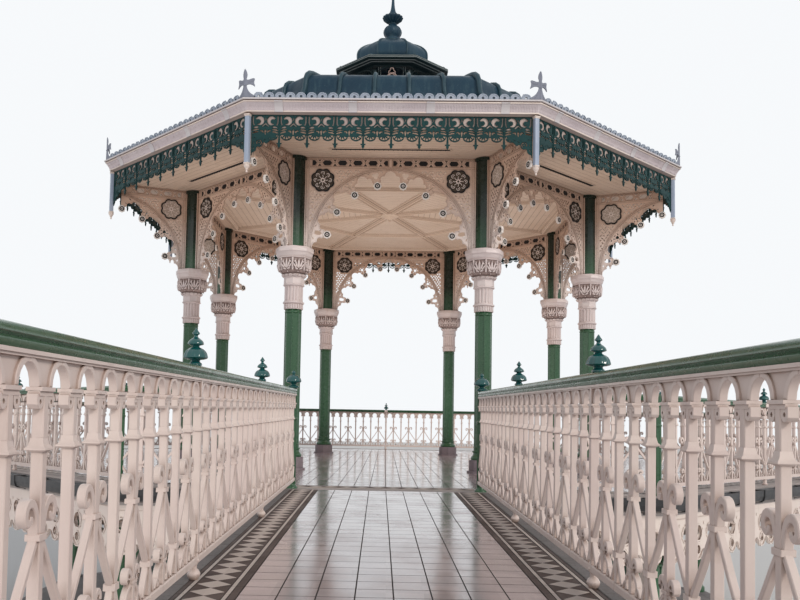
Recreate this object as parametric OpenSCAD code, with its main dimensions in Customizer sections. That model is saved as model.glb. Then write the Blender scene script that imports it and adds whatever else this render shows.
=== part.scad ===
/* [Deck] */
// Height of the deck floor above the ground
deck_h = 3200; // [2700:50:3800]
// Distance from the middle to the balustrade line of each deck side
deck_a = 7450; // [6900:50:8000]
// How far the deck edge stands out past the balustrade line
deck_lip = 130; // [100:10:200]
// Thickness of the deck floor
slab_t = 220; // [150:10:300]
// Width of the stone edge of the deck
coping_w = 260; // [220:10:320]
// Depth of the beams under the deck
beam_h = 260; // [200:10:350]
// Width of the beams under the deck
beam_w = 220; // [160:10:280]
// Radius of the rain gutter round the deck
gutter_r = 75; // [50:5:100]
// Depth of the pierced board that hangs below the gutter
fringe_h = 560; // [440:20:700]
// Thickness of the pierced board
fringe_t = 24; // [16:2:40]

/* [Lower storey] */
// Height of the plinth that everything stands on
plinth_h = 160; // [100:10:250]
// How far the plinth stands out past the balustrade line
plinth_lip = 120; // [80:10:200]
// Distance from the middle to the outer face of the lower wall
wall_a = 4900; // [4500:50:5400]
// Thickness of the lower wall
wall_t = 300; // [200:10:400]
// Width of each opening in the lower wall
door_w = 2000; // [1400:50:2400]
// Height of each opening up to the spring of its arch
door_h = 1600; // [1200:50:1700]
// Thickness of the window and door frames
frame_t = 70; // [50:5:100]
// Thickness of the window glass
glass_t = 12; // [8:1:20]
// Radius of the verandah posts
post_r = 75; // [60:5:90]

/* [Bandstand ring] */
// Radius of the ring on which the eight columns stand
column_r = 4000; // [3800:50:4200]
// Height of the stone block under each column
block_h = 210; // [150:10:280]
// Width of the stone block across its flats
block_w = 390; // [350:10:440]
// Height of the moulded iron foot of each column
foot_h = 190; // [170:10:240]
// Width of the column shaft across its flats
shaft_w = 250; // [230:5:270]
// Width of the plain upper shaft between the fretwork plates
upper_w = 290; // [270:5:300]
// Height of the underside of the capital above the deck
capital_z = 2565; // [2450:5:2700]
// Height of the capital
capital_h = 995; // [950:5:1050]
// Width of the top slab of the capital across its flats
abacus_w = 550; // [520:10:600]
// Height of the soffit above the deck
soffit_z = 5070; // [4950:10:5200]

/* [Fretwork] */
// Thickness of the cast fretwork plates
fret_t = 36; // [24:2:40]
// Distance from the column axis to the arc on which the rosettes hang
jamb_w = 500; // [450:1:520]
// Least depth of the plate over the crown of each arch
crown_h = 210; // [195:5:240]
// Radius of each rosette
rosette_r = 64; // [50:1:75]
// Radius of the middle lobe of each foil cut between two rosettes
foil_r = 90; // [80:1:96]
// Distance from the column axis to the middle of each flower roundel
roundel_out = 432; // [410:1:440]
// Distance from the soffit down to the middle of each roundel
roundel_drop = 380; // [370:5:400]
// Radius of the roundels
roundel_r = 200; // [160:5:210]
// Number of bays between the long holes along half of each plate
hole_bays = 5; // [4:1:6]
// Gap left between the outer bracket and the corner of the valance
bracket_gap = 134; // [100:2:180]

/* [Eaves] */
// Thickness of the ceiling boards
board_t = 40; // [30:2:60]
// Depth of the ribs under the ceiling
rib_h = 55; // [40:5:80]
// Width of the ribs under the ceiling
rib_w = 90; // [60:5:120]
// How far the lip of the eaves cornice stands out past the ring of columns
eaves_out = 1231; // [1150:1:1300]
// Height of the cornice lip above the soffit
cornice_h = 390; // [360:5:420]
// Height of the plain fascia below the cornice moulding
fascia_h = 190; // [150:5:200]
// Distance from the cornice lip in to the hanging valance
valance_in = 164; // [150:2:200]
// Depth of the valance below the cornice
valance_h = 385; // [340:5:440]
// Thickness of the valance plate
valance_t = 24; // [16:2:40]
// Number of bays in one side of the valance
valance_bays = 10; // [8:1:12]
// Width of the drop posts at the corners
drop_w = 70; // [50:5:90]
// Length of the drop posts
drop_h = 870; // [760:10:1000]
// Number of scallops in one side of the crest
crest_bays = 26; // [22:1:30]
// Height of the crest above the cornice
crest_h = 100; // [80:5:120]
// Height of the corner crosses above the cornice
cross_h = 445; // [400:5:500]

/* [Roof] */
// How far the dome's shoulder stands in from the ring of columns
shoulder_in = 620; // [550:5:750]
// Height of the dome's shoulder above the soffit
shoulder_z = 1575; // [1450:5:1700]
// Thickness of the dome
dome_t = 60; // [40:5:80]
// Width of the rolls on the dome
roll_w = 62; // [40:2:80]
// How far the rolls stand proud of the dome
roll_h = 55; // [40:5:80]
// Distance from the middle to the outer face of the lantern
lantern_a = 860; // [800:10:900]
// Thickness of the lantern's rings
lantern_t = 80; // [60:5:100]
// Height of the lantern from the dome to its roof
lantern_h = 770; // [640:10:900]
// How far the lantern's roof stands out past its sides
lantern_lip = 275; // [240:1:310]
// Height of the rounded cap over the lantern
cap_h = 605; // [550:5:700]
// Height of the finial on the cap
finial_h = 1450; // [1200:10:1700]

/* [Bridge] */
// Half the width of the bridge between its balustrade lines
bridge_half = 1085; // [1000:5:1250]
// How far the bridge floor stands out past each balustrade
bridge_lip = 160; // [120:10:200]
// Length of one bridge panel from joint to joint
panel_l = 2580; // [2400:20:2800]
// Number of panels along the bridge
bridge_panels = 4; // [2:1:6]
// Angle at which the bridge falls away from the deck
bridge_fall = 1.0; // [0:0.1:1.5]
// Angle of the bridge off square to the deck
bridge_skew = 0.4; // [0:0.1:1.5]
// Thickness of the bridge floor
bridge_t = 120; // [80:10:160]
// Depth of the bridge girders below the floor
girder_h = 330; // [260:10:400]
// Length of the pier under the outer end of the bridge
pier_l = 500; // [400:20:700]

/* [Balustrade] */
// Height of the top of the green handrail above the floor
rail_z = 1150; // [1080:5:1200]
// Height of the handrail itself
rail_h = 70; // [60:5:80]
// Width of the handrail
rail_w = 100; // [90:5:120]
// Height of the clear gap under the balustrade panels
foot_gap = 85; // [70:1:100]
// Spacing of the balusters
bar_pitch = 234.5; // [222:0.5:258]
// Width of each baluster
bar_w = 36; // [30:1:40]
// Thickness of the balustrade castings
bar_t = 36; // [30:1:38]
// How far the bridge panels stand inside the line of the newels
panel_in = 20; // [10:1:22]
// Height of the knot from which each spread foot springs
knot_z = 550; // [500:5:590]
// Half the width of the newel posts across their flats
newel_r = 42; // [38:1:50]

/* [Hidden] */

iron_green = [0.09, 0.25, 0.20];
cream = [0.90, 0.85, 0.82];
stone = [0.52, 0.50, 0.56];
floor_pink = [0.75, 0.65, 0.62];
roof_grey = [0.18, 0.25, 0.29];
black_iron = [0.08, 0.08, 0.10];

sides = 8;
turn = 360 / sides;
half_turn = turn / 2;
to_corner = 1 / cos(half_turn);
half_side = tan(half_turn);
front = 6;
round_fn = 48;
fine_fn = 24;

edge_a = deck_a + deck_lip;
slab_a = edge_a - coping_w;
slab_z = deck_h - slab_t;
beam_z = slab_z - beam_h;
verandah_a = deck_a - deck_lip / 2;

column_a = column_r * cos(half_turn);
column_gap = column_r * sin(half_turn);
capital_top = deck_h + capital_z + capital_h;
soffit_top = deck_h + soffit_z;
fret_h = soffit_top - capital_top;
eaves_a = column_r + eaves_out;
shoulder_a = column_r - shoulder_in;
shaft_half = shaft_w / 2;
upper_half = upper_w / 2;

cornice_top = soffit_top + cornice_h;
valance_a = eaves_a - valance_in;
fascia_a = valance_a - valance_t / 2;
fascia_in = fascia_a - 48;
valance_top = soffit_top + fascia_h;
ceiling_a = column_a - 250;

// An octagonal block with flat faces towards the four axes
module octagon_block(a, z0, h) {
    translate([0, 0, z0])
        rotate([0, 0, half_turn])
            cylinder(r = a * to_corner, h = h, $fn = sides);
}

module octagon_ring(a_out, a_in, z0, h) {
    difference() {
        octagon_block(a_out, z0, h);
        octagon_block(a_in, z0 - 1, h + 2);
    }
}

// A straight bar across the middle whose two long faces follow a profile of reach and height
module profile_bar(profile, k) {
    n = len(profile);
    reach = max([for (p = profile) p[0]]);
    rotate([90, 0, k * turn])
        linear_extrude(4 * reach, center = true)
            polygon(concat(profile, [for (i = [n - 1 : -1 : 0]) [-profile[i][0], profile[i][1]]]));
}

// An octagonal solid whose faces follow a profile of apothem and height
module octagon_solid(profile) {
    intersection() {
        profile_bar(profile, 0);
        profile_bar(profile, 1);
        profile_bar(profile, 2);
        profile_bar(profile, 3);
    }
}

// Places a flat plate on side k, its sheet standing at distance a from the middle
module stand_on_side(k, a, t) {
    rotate([0, 0, k * turn - 90])
        translate([0, a + t / 2, 0])
            rotate([90, 0, 0])
                linear_extrude(t)
                    children();
}

// Lower storey

module base_plinth() {
    color(stone)
        octagon_block(deck_a + plinth_lip, 0, plinth_h);
}

arch_share = 0.583;
arch_drop = 0.3;

// The outline of a doorway with a low round arch
module doorway(w, h) {
    translate([-w / 2, 0]) square([w, h]);
    intersection() {
        translate([0, h - w * arch_drop]) circle(r = w * arch_share, $fn = round_fn);
        translate([-w / 2, h - 1]) square([w, w]);
    }
}

module lower_wall() {
    color(cream)
        difference() {
            octagon_ring(wall_a, wall_a - wall_t, plinth_h, slab_z - plinth_h);
            for (k = [0 : sides - 1])
                translate([0, 0, plinth_h - 1])
                    stand_on_side(k, wall_a - wall_t / 2, wall_t * 1.6)
                        doorway(door_w, door_h + 1);
        }
}

// The open lights of a frame: two leaves below, a fanlight above
module frame_lights() {
    difference() {
        translate([0, frame_t]) doorway(door_w - 2 * frame_t, door_h - frame_t);
        translate([-frame_t / 2, 0]) square([frame_t, 2 * door_h]);
        translate([-door_w / 2, door_h - frame_t]) square([door_w, frame_t]);
        translate([-door_w / 2, door_h * 0.35]) square([door_w, frame_t]);
    }
}

module lower_frames() {
    color(iron_green)
        for (k = [0 : sides - 1])
            translate([0, 0, plinth_h])
                stand_on_side(k, wall_a - wall_t / 2, frame_t)
                    difference() {
                        doorway(door_w, door_h);
                        frame_lights();
                    }
}

module lower_glass() {
    color([0.2, 0.25, 0.3])
        for (k = [0 : sides - 1])
            translate([0, 0, plinth_h])
                stand_on_side(k, wall_a - wall_t / 2 - frame_t / 2 - glass_t / 2, glass_t)
                    doorway(door_w, door_h);
}

module verandah_posts() {
    h = beam_z - plinth_h;
    r = post_r;
    color(iron_green)
        for (k = [0 : sides - 1])
            rotate([0, 0, k * turn + half_turn])
                translate([verandah_a * to_corner, 0, plinth_h])
                    rotate_extrude($fn = round_fn)
                        polygon([
                            [0, 0], [2 * r, 0], [2 * r, 110], [1.5 * r, 150], [1.5 * r, 230], [r, 280],
                            [0.9 * r, h - 330], [1.3 * r, h - 315], [1.3 * r, h - 285], [r, h - 270],
                            [1.1 * r, h - 150], [1.7 * r, h - 60], [1.9 * r, h - 50], [1.9 * r, h], [0, h]
                        ]);
}

// Deck

module deck_beams() {
    color(cream)
        difference() {
            union() {
                octagon_ring(verandah_a + beam_w / 2, verandah_a - beam_w / 2, beam_z, beam_h);
                for (k = [0 : sides - 1])
                    rotate([0, 0, k * turn + half_turn])
                        translate([wall_a, -beam_w / 2, beam_z])
                            cube([verandah_a * to_corner - wall_a, beam_w, beam_h]);
            }
            octagon_block(wall_a, beam_z - 1, beam_h + 2);
        }
}

module deck_slab() {
    color(floor_pink)
        octagon_block(slab_a, slab_z, slab_t);
}

module deck_coping() {
    color(cream)
        octagon_ring(edge_a, slab_a, slab_z, slab_t);
}

bridge_w = bridge_half + bridge_lip;

module deck_gutter() {
    zc = deck_h - 20;
    a = edge_a;
    r = gutter_r;
    color(black_iron)
        difference() {
            rotate([0, 0, half_turn])
                rotate_extrude($fn = sides)
                    polygon([for (p = [
                        [0, 0], [0, 1.2], [0.3, 1.9], [1, 2.1], [1.7, 1.8], [2, 1], [2, 0], [1.8, 0],
                        [1.6, 1], [1, 1.7], [0.5, 1], [0.2, 0]
                    ]) [(a + p[0] * r) * to_corner, zc - p[1] * r]]);
            translate([-bridge_w, -a - 4 * r, zc - 4 * r]) cube([2 * bridge_w, 8 * r, 8 * r]);
        }
}

// One pierced length of the board below the gutter, from x0 to x1
module fringe_plate(x0, x1) {
    n = max(1, round((x1 - x0) / 320));
    p = (x1 - x0) / n;
    lobe = 0.4 * p;
    body_h = fringe_h - lobe;
    difference() {
        union() {
            translate([x0, -body_h]) square([x1 - x0, body_h]);
            for (i = [0 : n - 1])
                translate([x0 + (i + 0.5) * p, -body_h])
                    circle(r = lobe, $fn = fine_fn);
        }
        for (i = [0 : n - 1])
            translate([x0 + (i + 0.5) * p, -body_h]) {
                translate([0, body_h * 0.45]) circle(r = 0.3 * p, $fn = fine_fn);
                circle(r = 0.17 * p, $fn = fine_fn);
            }
    }
}

module deck_fringe() {
    a = edge_a - fringe_t / 2;
    reach = (a - fringe_t / 2) * half_side - 1;
    color(cream)
        translate([0, 0, slab_z])
            for (k = [0 : sides - 1])
                if (k == front) {
                    stand_on_side(k, a, fringe_t) fringe_plate(-reach, -bridge_w);
                    stand_on_side(k, a, fringe_t) fringe_plate(bridge_w, reach);
                } else {
                    stand_on_side(k, a, fringe_t) fringe_plate(-reach, reach);
                }
}

// Bridge

bridge_l = bridge_panels * panel_l;
bridge_end = 150;

// Puts a piece into a frame that runs out along the bridge from (x, 0) on the balustrade line
module on_bridge(x = 0) {
    translate([x, -deck_a, deck_h])
        rotate([bridge_fall, 0, 0])
            rotate([0, 0, bridge_skew])
                children();
}

// What lies on the deck's side of the line y
module deck_side_of(y) {
    translate([-deck_a, -y, 0])
        cube([2 * deck_a, 2 * deck_a, 2 * deck_h]);
}

module bridge_deck() {
    color(floor_pink)
        difference() {
            on_bridge()
                translate([-bridge_w, -bridge_l - bridge_end, -bridge_t])
                    cube([2 * bridge_w, bridge_l + bridge_end, bridge_t]);
            deck_side_of(edge_a);
        }
}

module girder() {
    flange_w = 180;
    flange_t = 24;
    web_t = 20;
    web_h = girder_h - 2 * flange_t;
    l = bridge_l + bridge_end;
    translate([0, -l, -bridge_t - girder_h]) {
        translate([-flange_w / 2, 0, 0]) cube([flange_w, l, flange_t]);
        translate([-web_t / 2, 0, flange_t]) cube([web_t, l, web_h]);
        translate([-flange_w / 2, 0, girder_h - flange_t]) cube([flange_w, l, flange_t]);
        for (i = [0 : 2 * bridge_panels - 1])
            translate([-flange_w / 2 + 10, bridge_end + (i + 0.5) * panel_l / 2, flange_t])
                cube([flange_w - 20, web_t, web_h]);
    }
}

module bridge_girders() {
    color(cream)
        difference() {
            for (sx = [-1, 1]) on_bridge(sx * bridge_half) girder();
            deck_side_of(edge_a);
        }
}

module bridge_pier() {
    color(stone)
        difference() {
            translate([0, -deck_a, 0])
                rotate([0, 0, bridge_skew])
                    translate([-bridge_w, -bridge_l - bridge_end, 0])
                        cube([2 * bridge_w, pier_l, deck_h]);
            on_bridge()
                translate([-2 * bridge_w, -2 * bridge_l, -bridge_t - girder_h])
                    cube([4 * bridge_w, 2 * bridge_l, deck_h]);
        }
}

// Balustrade

panel_top = rail_z - rail_h;
foot_rail = 42;
rail_base = foot_gap + foot_rail;
head_r = 56;
head_z = panel_top - 100;
ledge_t = 24;
lobe_r = 21;
lobe_in = 17;
collar_z = 0.75 * panel_top;
collar_lip = 13;
strut_w = 22;
low_z = 0.243 * panel_top;
foot_out = 64;
curl_r = 36;
curl_out = 62;
curl_up = 72;
curl_hole = 12;
small_curl = 27;
small_out = 44;

// The openings of one bay of width p, its spread foot springing from the bar at x = 0
module bay_opening(p, rich) {
    x0 = bar_w / 2;
    x1 = p - bar_w / 2;
    half_strut = strut_w / 2;
    top = head_z - ledge_t;
    strut_top = 20;
    strut_v = strut_w * norm([x1 - x0, knot_z - low_z]) / (x1 - x0);
    curl = [x0 + curl_out, knot_z + curl_up];
    intersection() {
        translate([p / 2, head_z]) circle(r = head_r, $fn = fine_fn);
        translate([0, head_z]) square([p, head_r + 1]);
    }
    difference() {
        union() {
            polygon([[x0, top], [x1, top], [x1, low_z + strut_top], [x0, knot_z + strut_top]]);
            polygon([
                [x0, rail_base], [x1 - foot_out - half_strut, rail_base], [x1 - half_strut, low_z],
                [x0, knot_z + strut_top - strut_v]
            ]);
            polygon([[x1 - foot_out + half_strut, rail_base], [x1, rail_base], [x1, low_z - 2 * strut_w]]);
        }
        translate(curl) circle(r = curl_r, $fn = fine_fn);
        polygon([
            [x0 - 1, knot_z], [x0 + curl_out, knot_z + curl_up - curl_r / 2],
            [x0 + curl_out - curl_r / 2, knot_z + curl_up], [x0 - 1, knot_z + 2 * strut_top]
        ]);
        if (rich) {
            for (x = [x0 + lobe_in, x1 - lobe_in])
                translate([x, top - lobe_r + 3]) circle(r = lobe_r, $fn = fine_fn);
            for (x = [0, p])
                translate([x, collar_z]) circle(r = x0 + collar_lip, $fn = fine_fn);
            translate([x0 + small_out, low_z]) circle(r = small_curl, $fn = fine_fn);
            translate([x0 - 1, low_z - small_curl]) square([small_out, small_curl]);
        }
    }
    if (rich) translate(curl) circle(r = curl_hole, $fn = fine_fn);
}

// A length of balustrade between two newels l apart, with n bays
module balustrade_panel(l, n, rich) {
    p = l / n;
    difference() {
        translate([newel_r, foot_gap]) square([l - 2 * newel_r, panel_top - foot_gap]);
        for (i = [0 : n - 1])
            if (i % 2 == 1)
                translate([i * p, 0]) bay_opening(p, rich);
            else
                translate([(i + 1) * p, 0]) mirror([1, 0]) bay_opening(p, rich);
    }
}

module stand_panel(l, n, rich) {
    translate([0, bar_t / 2, 0])
        rotate([90, 0, 0])
            linear_extrude(bar_t)
                balustrade_panel(l, n, rich);
}

// The turned foot under a joint between two bridge panels
module joint_foot() {
    rotate_extrude($fn = fine_fn)
        polygon([[0, 0], [18, 0], [34, 22], [34, 38], [16, 62], [16, foot_gap + 20], [0, foot_gap + 20]]);
}

module bridge_balustrades() {
    color(cream)
        for (sx = [-1, 1])
            on_bridge(sx * (bridge_half - panel_in))
                rotate([0, 0, -90])
                    union() {
                        stand_panel(bridge_l, 2 * round(bridge_l / bar_pitch / 2), true);
                        for (i = [1 : bridge_panels - 1])
                            translate([i * panel_l, 0, 0]) joint_foot();
                    }
}

side_l = 2 * deck_a * half_side;
front_l = side_l / 2 - bridge_half;

// The two lengths of balustrade on one whole side of the deck
module deck_side_panels(k) {
    rotate([0, 0, k * turn - 90])
        translate([0, deck_a, deck_h])
            for (x0 = [-side_l / 2, 0])
                translate([x0, 0, 0])
                    stand_panel(side_l / 2, 2 * round(side_l / bar_pitch / 4), false);
}

// The short length between the bridge and the corner of the deck
module deck_front_panel(sx) {
    translate([sx > 0 ? bridge_half : -side_l / 2, -deck_a, deck_h])
        stand_panel(front_l, 2 * round(front_l / bar_pitch / 2), false);
}

module deck_balustrade_left() {
    color(cream) {
        deck_front_panel(-1);
        for (k = [3, 4, 5]) deck_side_panels(k);
    }
}

module deck_balustrade_right() {
    color(cream) {
        deck_front_panel(1);
        for (k = [0, 1, 7]) deck_side_panels(k);
    }
}

module deck_balustrade_back() {
    color(cream)
        deck_side_panels(2);
}

module octagon_prism(w, z0, h) {
    translate([0, 0, z0])
        rotate([0, 0, half_turn])
            cylinder(r = w / 2 * to_corner, h = h, $fn = sides);
}

// A newel with a turned foot, a ring and a bulb finial
module newel_post() {
    r = newel_r;
    ring_z = 0.69 * rail_z;
    z = rail_z;
    octagon_prism(2 * r, 0, z);
    rotate_extrude($fn = round_fn)
        polygon([
            [0, 0], [1.7 * r, 0], [1.7 * r, 20], [1.1 * r, 40], [1.1 * r, 60], [0, 60]
        ]);
    translate([0, 0, ring_z])
        rotate_extrude($fn = round_fn)
            polygon([[0, -22], [r, -22], [1.35 * r, -6], [1.35 * r, 6], [r, 22], [0, 22]]);
    translate([0, 0, z - 1])
        rotate_extrude($fn = round_fn)
            polygon([
                [0, 0], [r, 1], [1.5 * r, 6], [1.5 * r, 26], [0.8 * r, 36], [0.7 * r, 56], [1.3 * r, 66],
                [2.1 * r, 82], [2.1 * r, 96], [1.7 * r, 122], [0.8 * r, 150], [0.4 * r, 162],
                [0.4 * r, 170], [0.6 * r, 178], [0.5 * r, 188], [0, 212]
            ]);
}

module bridge_newels() {
    color(iron_green)
        for (sx = [-1, 1]) {
            translate([sx * bridge_half, -deck_a, deck_h]) newel_post();
            on_bridge(sx * bridge_half)
                translate([0, -bridge_l, 0]) newel_post();
        }
}

// The tall two-tier finials on the handrail over the joints of the bridge panels
module rail_finials() {
    color(iron_green)
        for (sx = [-1, 1], i = [1 : bridge_panels - 1])
            on_bridge(sx * bridge_half)
                translate([0, -i * panel_l, rail_z])
                    rotate_extrude($fn = round_fn)
                        polygon([
                            [0, 0], [30, 0], [34, 12], [24, 22], [40, 32], [62, 46], [67, 60], [58, 78],
                            [30, 94], [22, 104], [44, 118], [44, 126], [14, 150], [12, 164], [22, 174],
                            [16, 188], [0, 205]
                        ]);
}

module deck_newels() {
    color(iron_green)
        for (k = [0 : sides - 1]) {
            rotate([0, 0, k * turn + half_turn])
                translate([deck_a * to_corner, 0, deck_h])
                    rotate([0, 0, half_turn]) newel_post();
            if (k != front)
                rotate([0, 0, k * turn])
                    translate([deck_a, 0, deck_h]) newel_post();
        }
}

module handrail_length(l) {
    crown = rail_w / 2 - 2;
    rotate([90, 0, 90])
        linear_extrude(l)
            intersection() {
                translate([0, rail_z - crown]) circle(d = rail_w, $fn = round_fn);
                translate([-rail_w / 2, panel_top]) square([rail_w, rail_h]);
            }
}

module handrails() {
    color(iron_green) {
        for (sx = [-1, 1])
            on_bridge(sx * bridge_half)
                translate([0, -newel_r, 0])
                    rotate([0, 0, -90])
                        handrail_length(bridge_l - 2 * newel_r);
        for (k = [0 : sides - 1], x0 = [-side_l / 2 + newel_r, newel_r])
            if (k != front)
                rotate([0, 0, k * turn - 90])
                    translate([x0, deck_a, deck_h]) handrail_length(side_l / 2 - 2 * newel_r);
        for (x0 = [-side_l / 2 + newel_r, bridge_half + newel_r])
            translate([x0, -deck_a, deck_h]) handrail_length(front_l - 2 * newel_r);
    }
}

// Columns

module at_columns() {
    for (k = [0 : sides - 1])
        rotate([0, 0, k * turn + half_turn])
            translate([column_r, 0, 0]) children();
}

module column_blocks() {
    flare = 30;
    color(stone)
        at_columns() {
            octagon_prism(block_w + 2 * flare, deck_h, flare);
            octagon_prism(block_w, deck_h + flare - 1, block_h - flare + 1);
        }
}

// An octagonal shaft with a roll at each corner
module shaft_section(w) {
    bead = 14;
    rotate([0, 0, half_turn]) circle(r = w / 2 * to_corner - 6, $fn = sides);
    for (a = [0 : sides - 1])
        rotate([0, 0, a * turn + half_turn])
            translate([w / 2 * to_corner - bead, 0]) circle(r = bead, $fn = fine_fn);
}

// A sixteen-sided outline, so that every fretwork plate meets a flat
module sixteen(w) {
    n = 2 * sides;
    r = w / 2 / cos(180 / n);
    polygon([for (i = [0 : n - 1]) r * [cos((i + 0.5) * 360 / n), sin((i + 0.5) * 360 / n)]]);
}

cove_h = 60;
cove_w = upper_w + 40;

module columns() {
    z0 = deck_h + block_h;
    r = shaft_half;
    color(iron_green)
        at_columns() {
            translate([0, 0, z0])
                rotate_extrude($fn = round_fn)
                    polygon([
                        [0, 0], [r + 55, 0], [r + 60, 25], [r + 50, 50], [r + 28, 75], [r + 20, 105],
                        [r + 34, 120], [r + 34, 140], [r + 14, 150], [r + 14, foot_h], [0, foot_h]
                    ]);
            translate([0, 0, z0 + foot_h - 1])
                linear_extrude(capital_z - block_h - foot_h + 1) shaft_section(shaft_w);
            translate([0, 0, capital_top])
                linear_extrude(fret_h - cove_h + 1) sixteen(upper_w);
            translate([0, 0, soffit_top - cove_h])
                linear_extrude(cove_h) sixteen(cove_w);
        }
}

module capitals() {
    r = shaft_half;
    bell_top = 835;
    slab_z0 = 925;
    color(cream)
        at_columns()
            translate([0, 0, deck_h + capital_z])
                union() {
                    rotate_extrude($fn = round_fn)
                        polygon([
                            [0, 0], [r + 28, 0], [r + 28, 92], [r + 46, 100], [r + 46, 116], [r + 22, 126],
                            [r + 22, 375], [r + 46, 382], [r + 46, 398], [r + 32, 408], [r + 32, 520],
                            [r + 62, 534], [r + 62, 556], [r + 66, 572], [r + 98, 605], [r + 118, 680],
                            [r + 124, 760], [r + 128, bell_top], [0, bell_top]
                        ]);
                    octagon_prism(abacus_w - 40, bell_top - 1, slab_z0 - bell_top + 2);
                    octagon_prism(abacus_w, slab_z0, capital_h - slab_z0);
                }
}

// Fretwork

foils = 5;
foil_step = 180 / (2 * foils - 2 + 0.04);
foil_out = 143;
inner_out = 50;
side_foil_r = 55;
side_foil_out = 105;
side_foil_turn = 5.3;

// One foil of three lobes, cut about the middle of an arch of radius arc
module foil(arc) {
    translate([arc + foil_out, 0]) circle(r = foil_r, $fn = round_fn);
    for (s = [-1, 1])
        rotate([0, 0, s * side_foil_turn])
            translate([arc + side_foil_out, 0]) circle(r = side_foil_r, $fn = fine_fn);
    mouth = (arc + side_foil_out) * sin(side_foil_turn) + 0.6 * side_foil_r;
    cusp_in = arc + 10;
    cusp = cusp_in * sin(foil_step / 2 - 1);
    polygon([[arc + side_foil_out, -mouth], [arc + side_foil_out, mouth], [cusp_in, cusp], [cusp_in, -cusp]]);
}

// Half of a cusped fretwork arch, x measured from the column axis towards the arch's middle
module fret_half(reach, half_gap) {
    arc = half_gap - jamb_w;
    inner = arc + inner_out;
    arc_y = fret_h - crown_h - arc - foil_out - foil_r;
    difference() {
        union() {
            difference() {
                translate([upper_half, 0]) square([reach - upper_half, fret_h]);
                translate([half_gap, arc_y]) {
                    circle(r = inner, $fn = 96);
                    for (i = [0 : foils - 1])
                        rotate([0, 0, 180 - i * foil_step]) foil(arc);
                    translate([-inner, -fret_h]) square([2 * inner, fret_h]);
                }
            }
            for (i = [0 : foils - 2])
                translate([half_gap, arc_y])
                    rotate([0, 0, 180 - (i + 0.5) * foil_step])
                        translate([arc, 0]) circle(r = rosette_r, $fn = round_fn);
        }
        for (i = [0 : foils - 2])
            translate([half_gap, arc_y])
                rotate([0, 0, 180 - (i + 0.5) * foil_step])
                    translate([arc, 0]) circle(r = rosette_r * 0.28, $fn = fine_fn);
        long_holes(half_gap, reach);
        translate([roundel_out, fret_h - roundel_drop]) roundel_holes();
        translate([0, fret_h - cove_h]) square([cove_w / 2, cove_h + 1]);
    }
}

// The row of long holes along the soffit, the first and the last cut in half
module long_holes(half_gap, reach) {
    near = 37.5;
    far = half_gap - upper_half - 110;
    pitch = (far - near) / hole_bays;
    hole_r = 41;
    flat = 46;
    tip = 71;
    translate([0, fret_h - 90])
        intersection() {
            for (i = [0 : hole_bays])
                if (half_gap - near - i * pitch < reach)
                    translate([half_gap - near - i * pitch, 0])
                        polygon([
                            [-tip, 0], [-flat, hole_r], [flat, hole_r], [tip, 0], [flat, -hole_r], [-flat, -hole_r]
                        ]);
            translate([half_gap - far, -2 * hole_r]) square([far - near, 4 * hole_r]);
        }
}

module roundel_holes() {
    lobes = 8;
    circle(r = roundel_r * 0.16, $fn = fine_fn);
    for (i = [0 : lobes - 1])
        rotate([0, 0, i * 360 / lobes])
            translate([roundel_r * 0.66, 0]) circle(r = roundel_r * 0.17, $fn = fine_fn);
}

module arch_on_side(k) {
    color(cream)
        translate([0, 0, capital_top])
            stand_on_side(k, column_a, fret_t)
                for (s = [0, 1])
                    mirror([s, 0])
                        translate([-column_gap, 0]) fret_half(column_gap + 0.1, column_gap);
}

module arch_1() { arch_on_side(6); }
module arch_2() { arch_on_side(7); }
module arch_3() { arch_on_side(0); }
module arch_4() { arch_on_side(1); }
module arch_5() { arch_on_side(2); }
module arch_6() { arch_on_side(3); }
module arch_7() { arch_on_side(4); }
module arch_8() { arch_on_side(5); }

module eave_brackets() {
    reach = fascia_a * to_corner - bracket_gap - column_r;
    color(cream)
        at_columns()
            translate([0, fret_t / 2, capital_top])
                rotate([90, 0, 0])
                    linear_extrude(fret_t)
                        fret_half(reach, column_gap);
}

// Ceiling and eaves

module ceiling() {
    slot_a = column_a + 475;
    slot_l = 1800;
    slot_w = 45;
    color(cream)
        difference() {
            octagon_block(fascia_in, soffit_top, board_t);
            for (k = [0 : sides - 1])
                rotate([0, 0, k * turn])
                    translate([slot_a - slot_w / 2, -slot_l / 2, soffit_top - 1])
                        cube([slot_w, slot_l, board_t + 2]);
        }
}

module ceiling_ribs() {
    ring_a = 0.55 * ceiling_a;
    reach = ceiling_a * to_corner - rib_w;
    z = soffit_top - rib_h;
    color(cream)
        union() {
            for (k = [0 : sides - 1])
                rotate([0, 0, k * turn + half_turn])
                    translate([0, -rib_w / 2, z])
                        cube([reach, rib_w, rib_h]);
            octagon_ring(ring_a + rib_w / 2, ring_a - rib_w / 2, z, rib_h);
            octagon_ring(ceiling_a, ceiling_a - rib_w, z, rib_h);
            translate([0, 0, z - 110])
                rotate_extrude($fn = round_fn)
                    polygon([[0, 0], [60, 8], [110, 35], [130, 70], [190, 95], [190, 125], [0, 125]]);
        }
}

dome_foot = eaves_a - 200;
cornice_in = dome_foot - 120;

module cornice() {
    a = eaves_a;
    f = fascia_h;
    h = cornice_h;
    m = h - f;
    color(cream)
        translate([0, 0, soffit_top])
            difference() {
                octagon_solid([
                    [fascia_a, 0], [fascia_a, f], [a - 125, f], [a - 120, f + 0.1 * m], [a - 95, f + 0.12 * m],
                    [a - 80, f + 0.2 * m], [a - 50, f + 0.42 * m], [a - 35, f + 0.68 * m],
                    [a - 28, f + 0.78 * m], [a, f + 0.8 * m], [a, h]
                ]);
                octagon_block(fascia_in, -1, board_t + 1);
                octagon_block(cornice_in, 0, h + 1);
            }
}

valance_l = 2 * fascia_a * half_side - drop_w - 6;
spandrel_h = 230;

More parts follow.
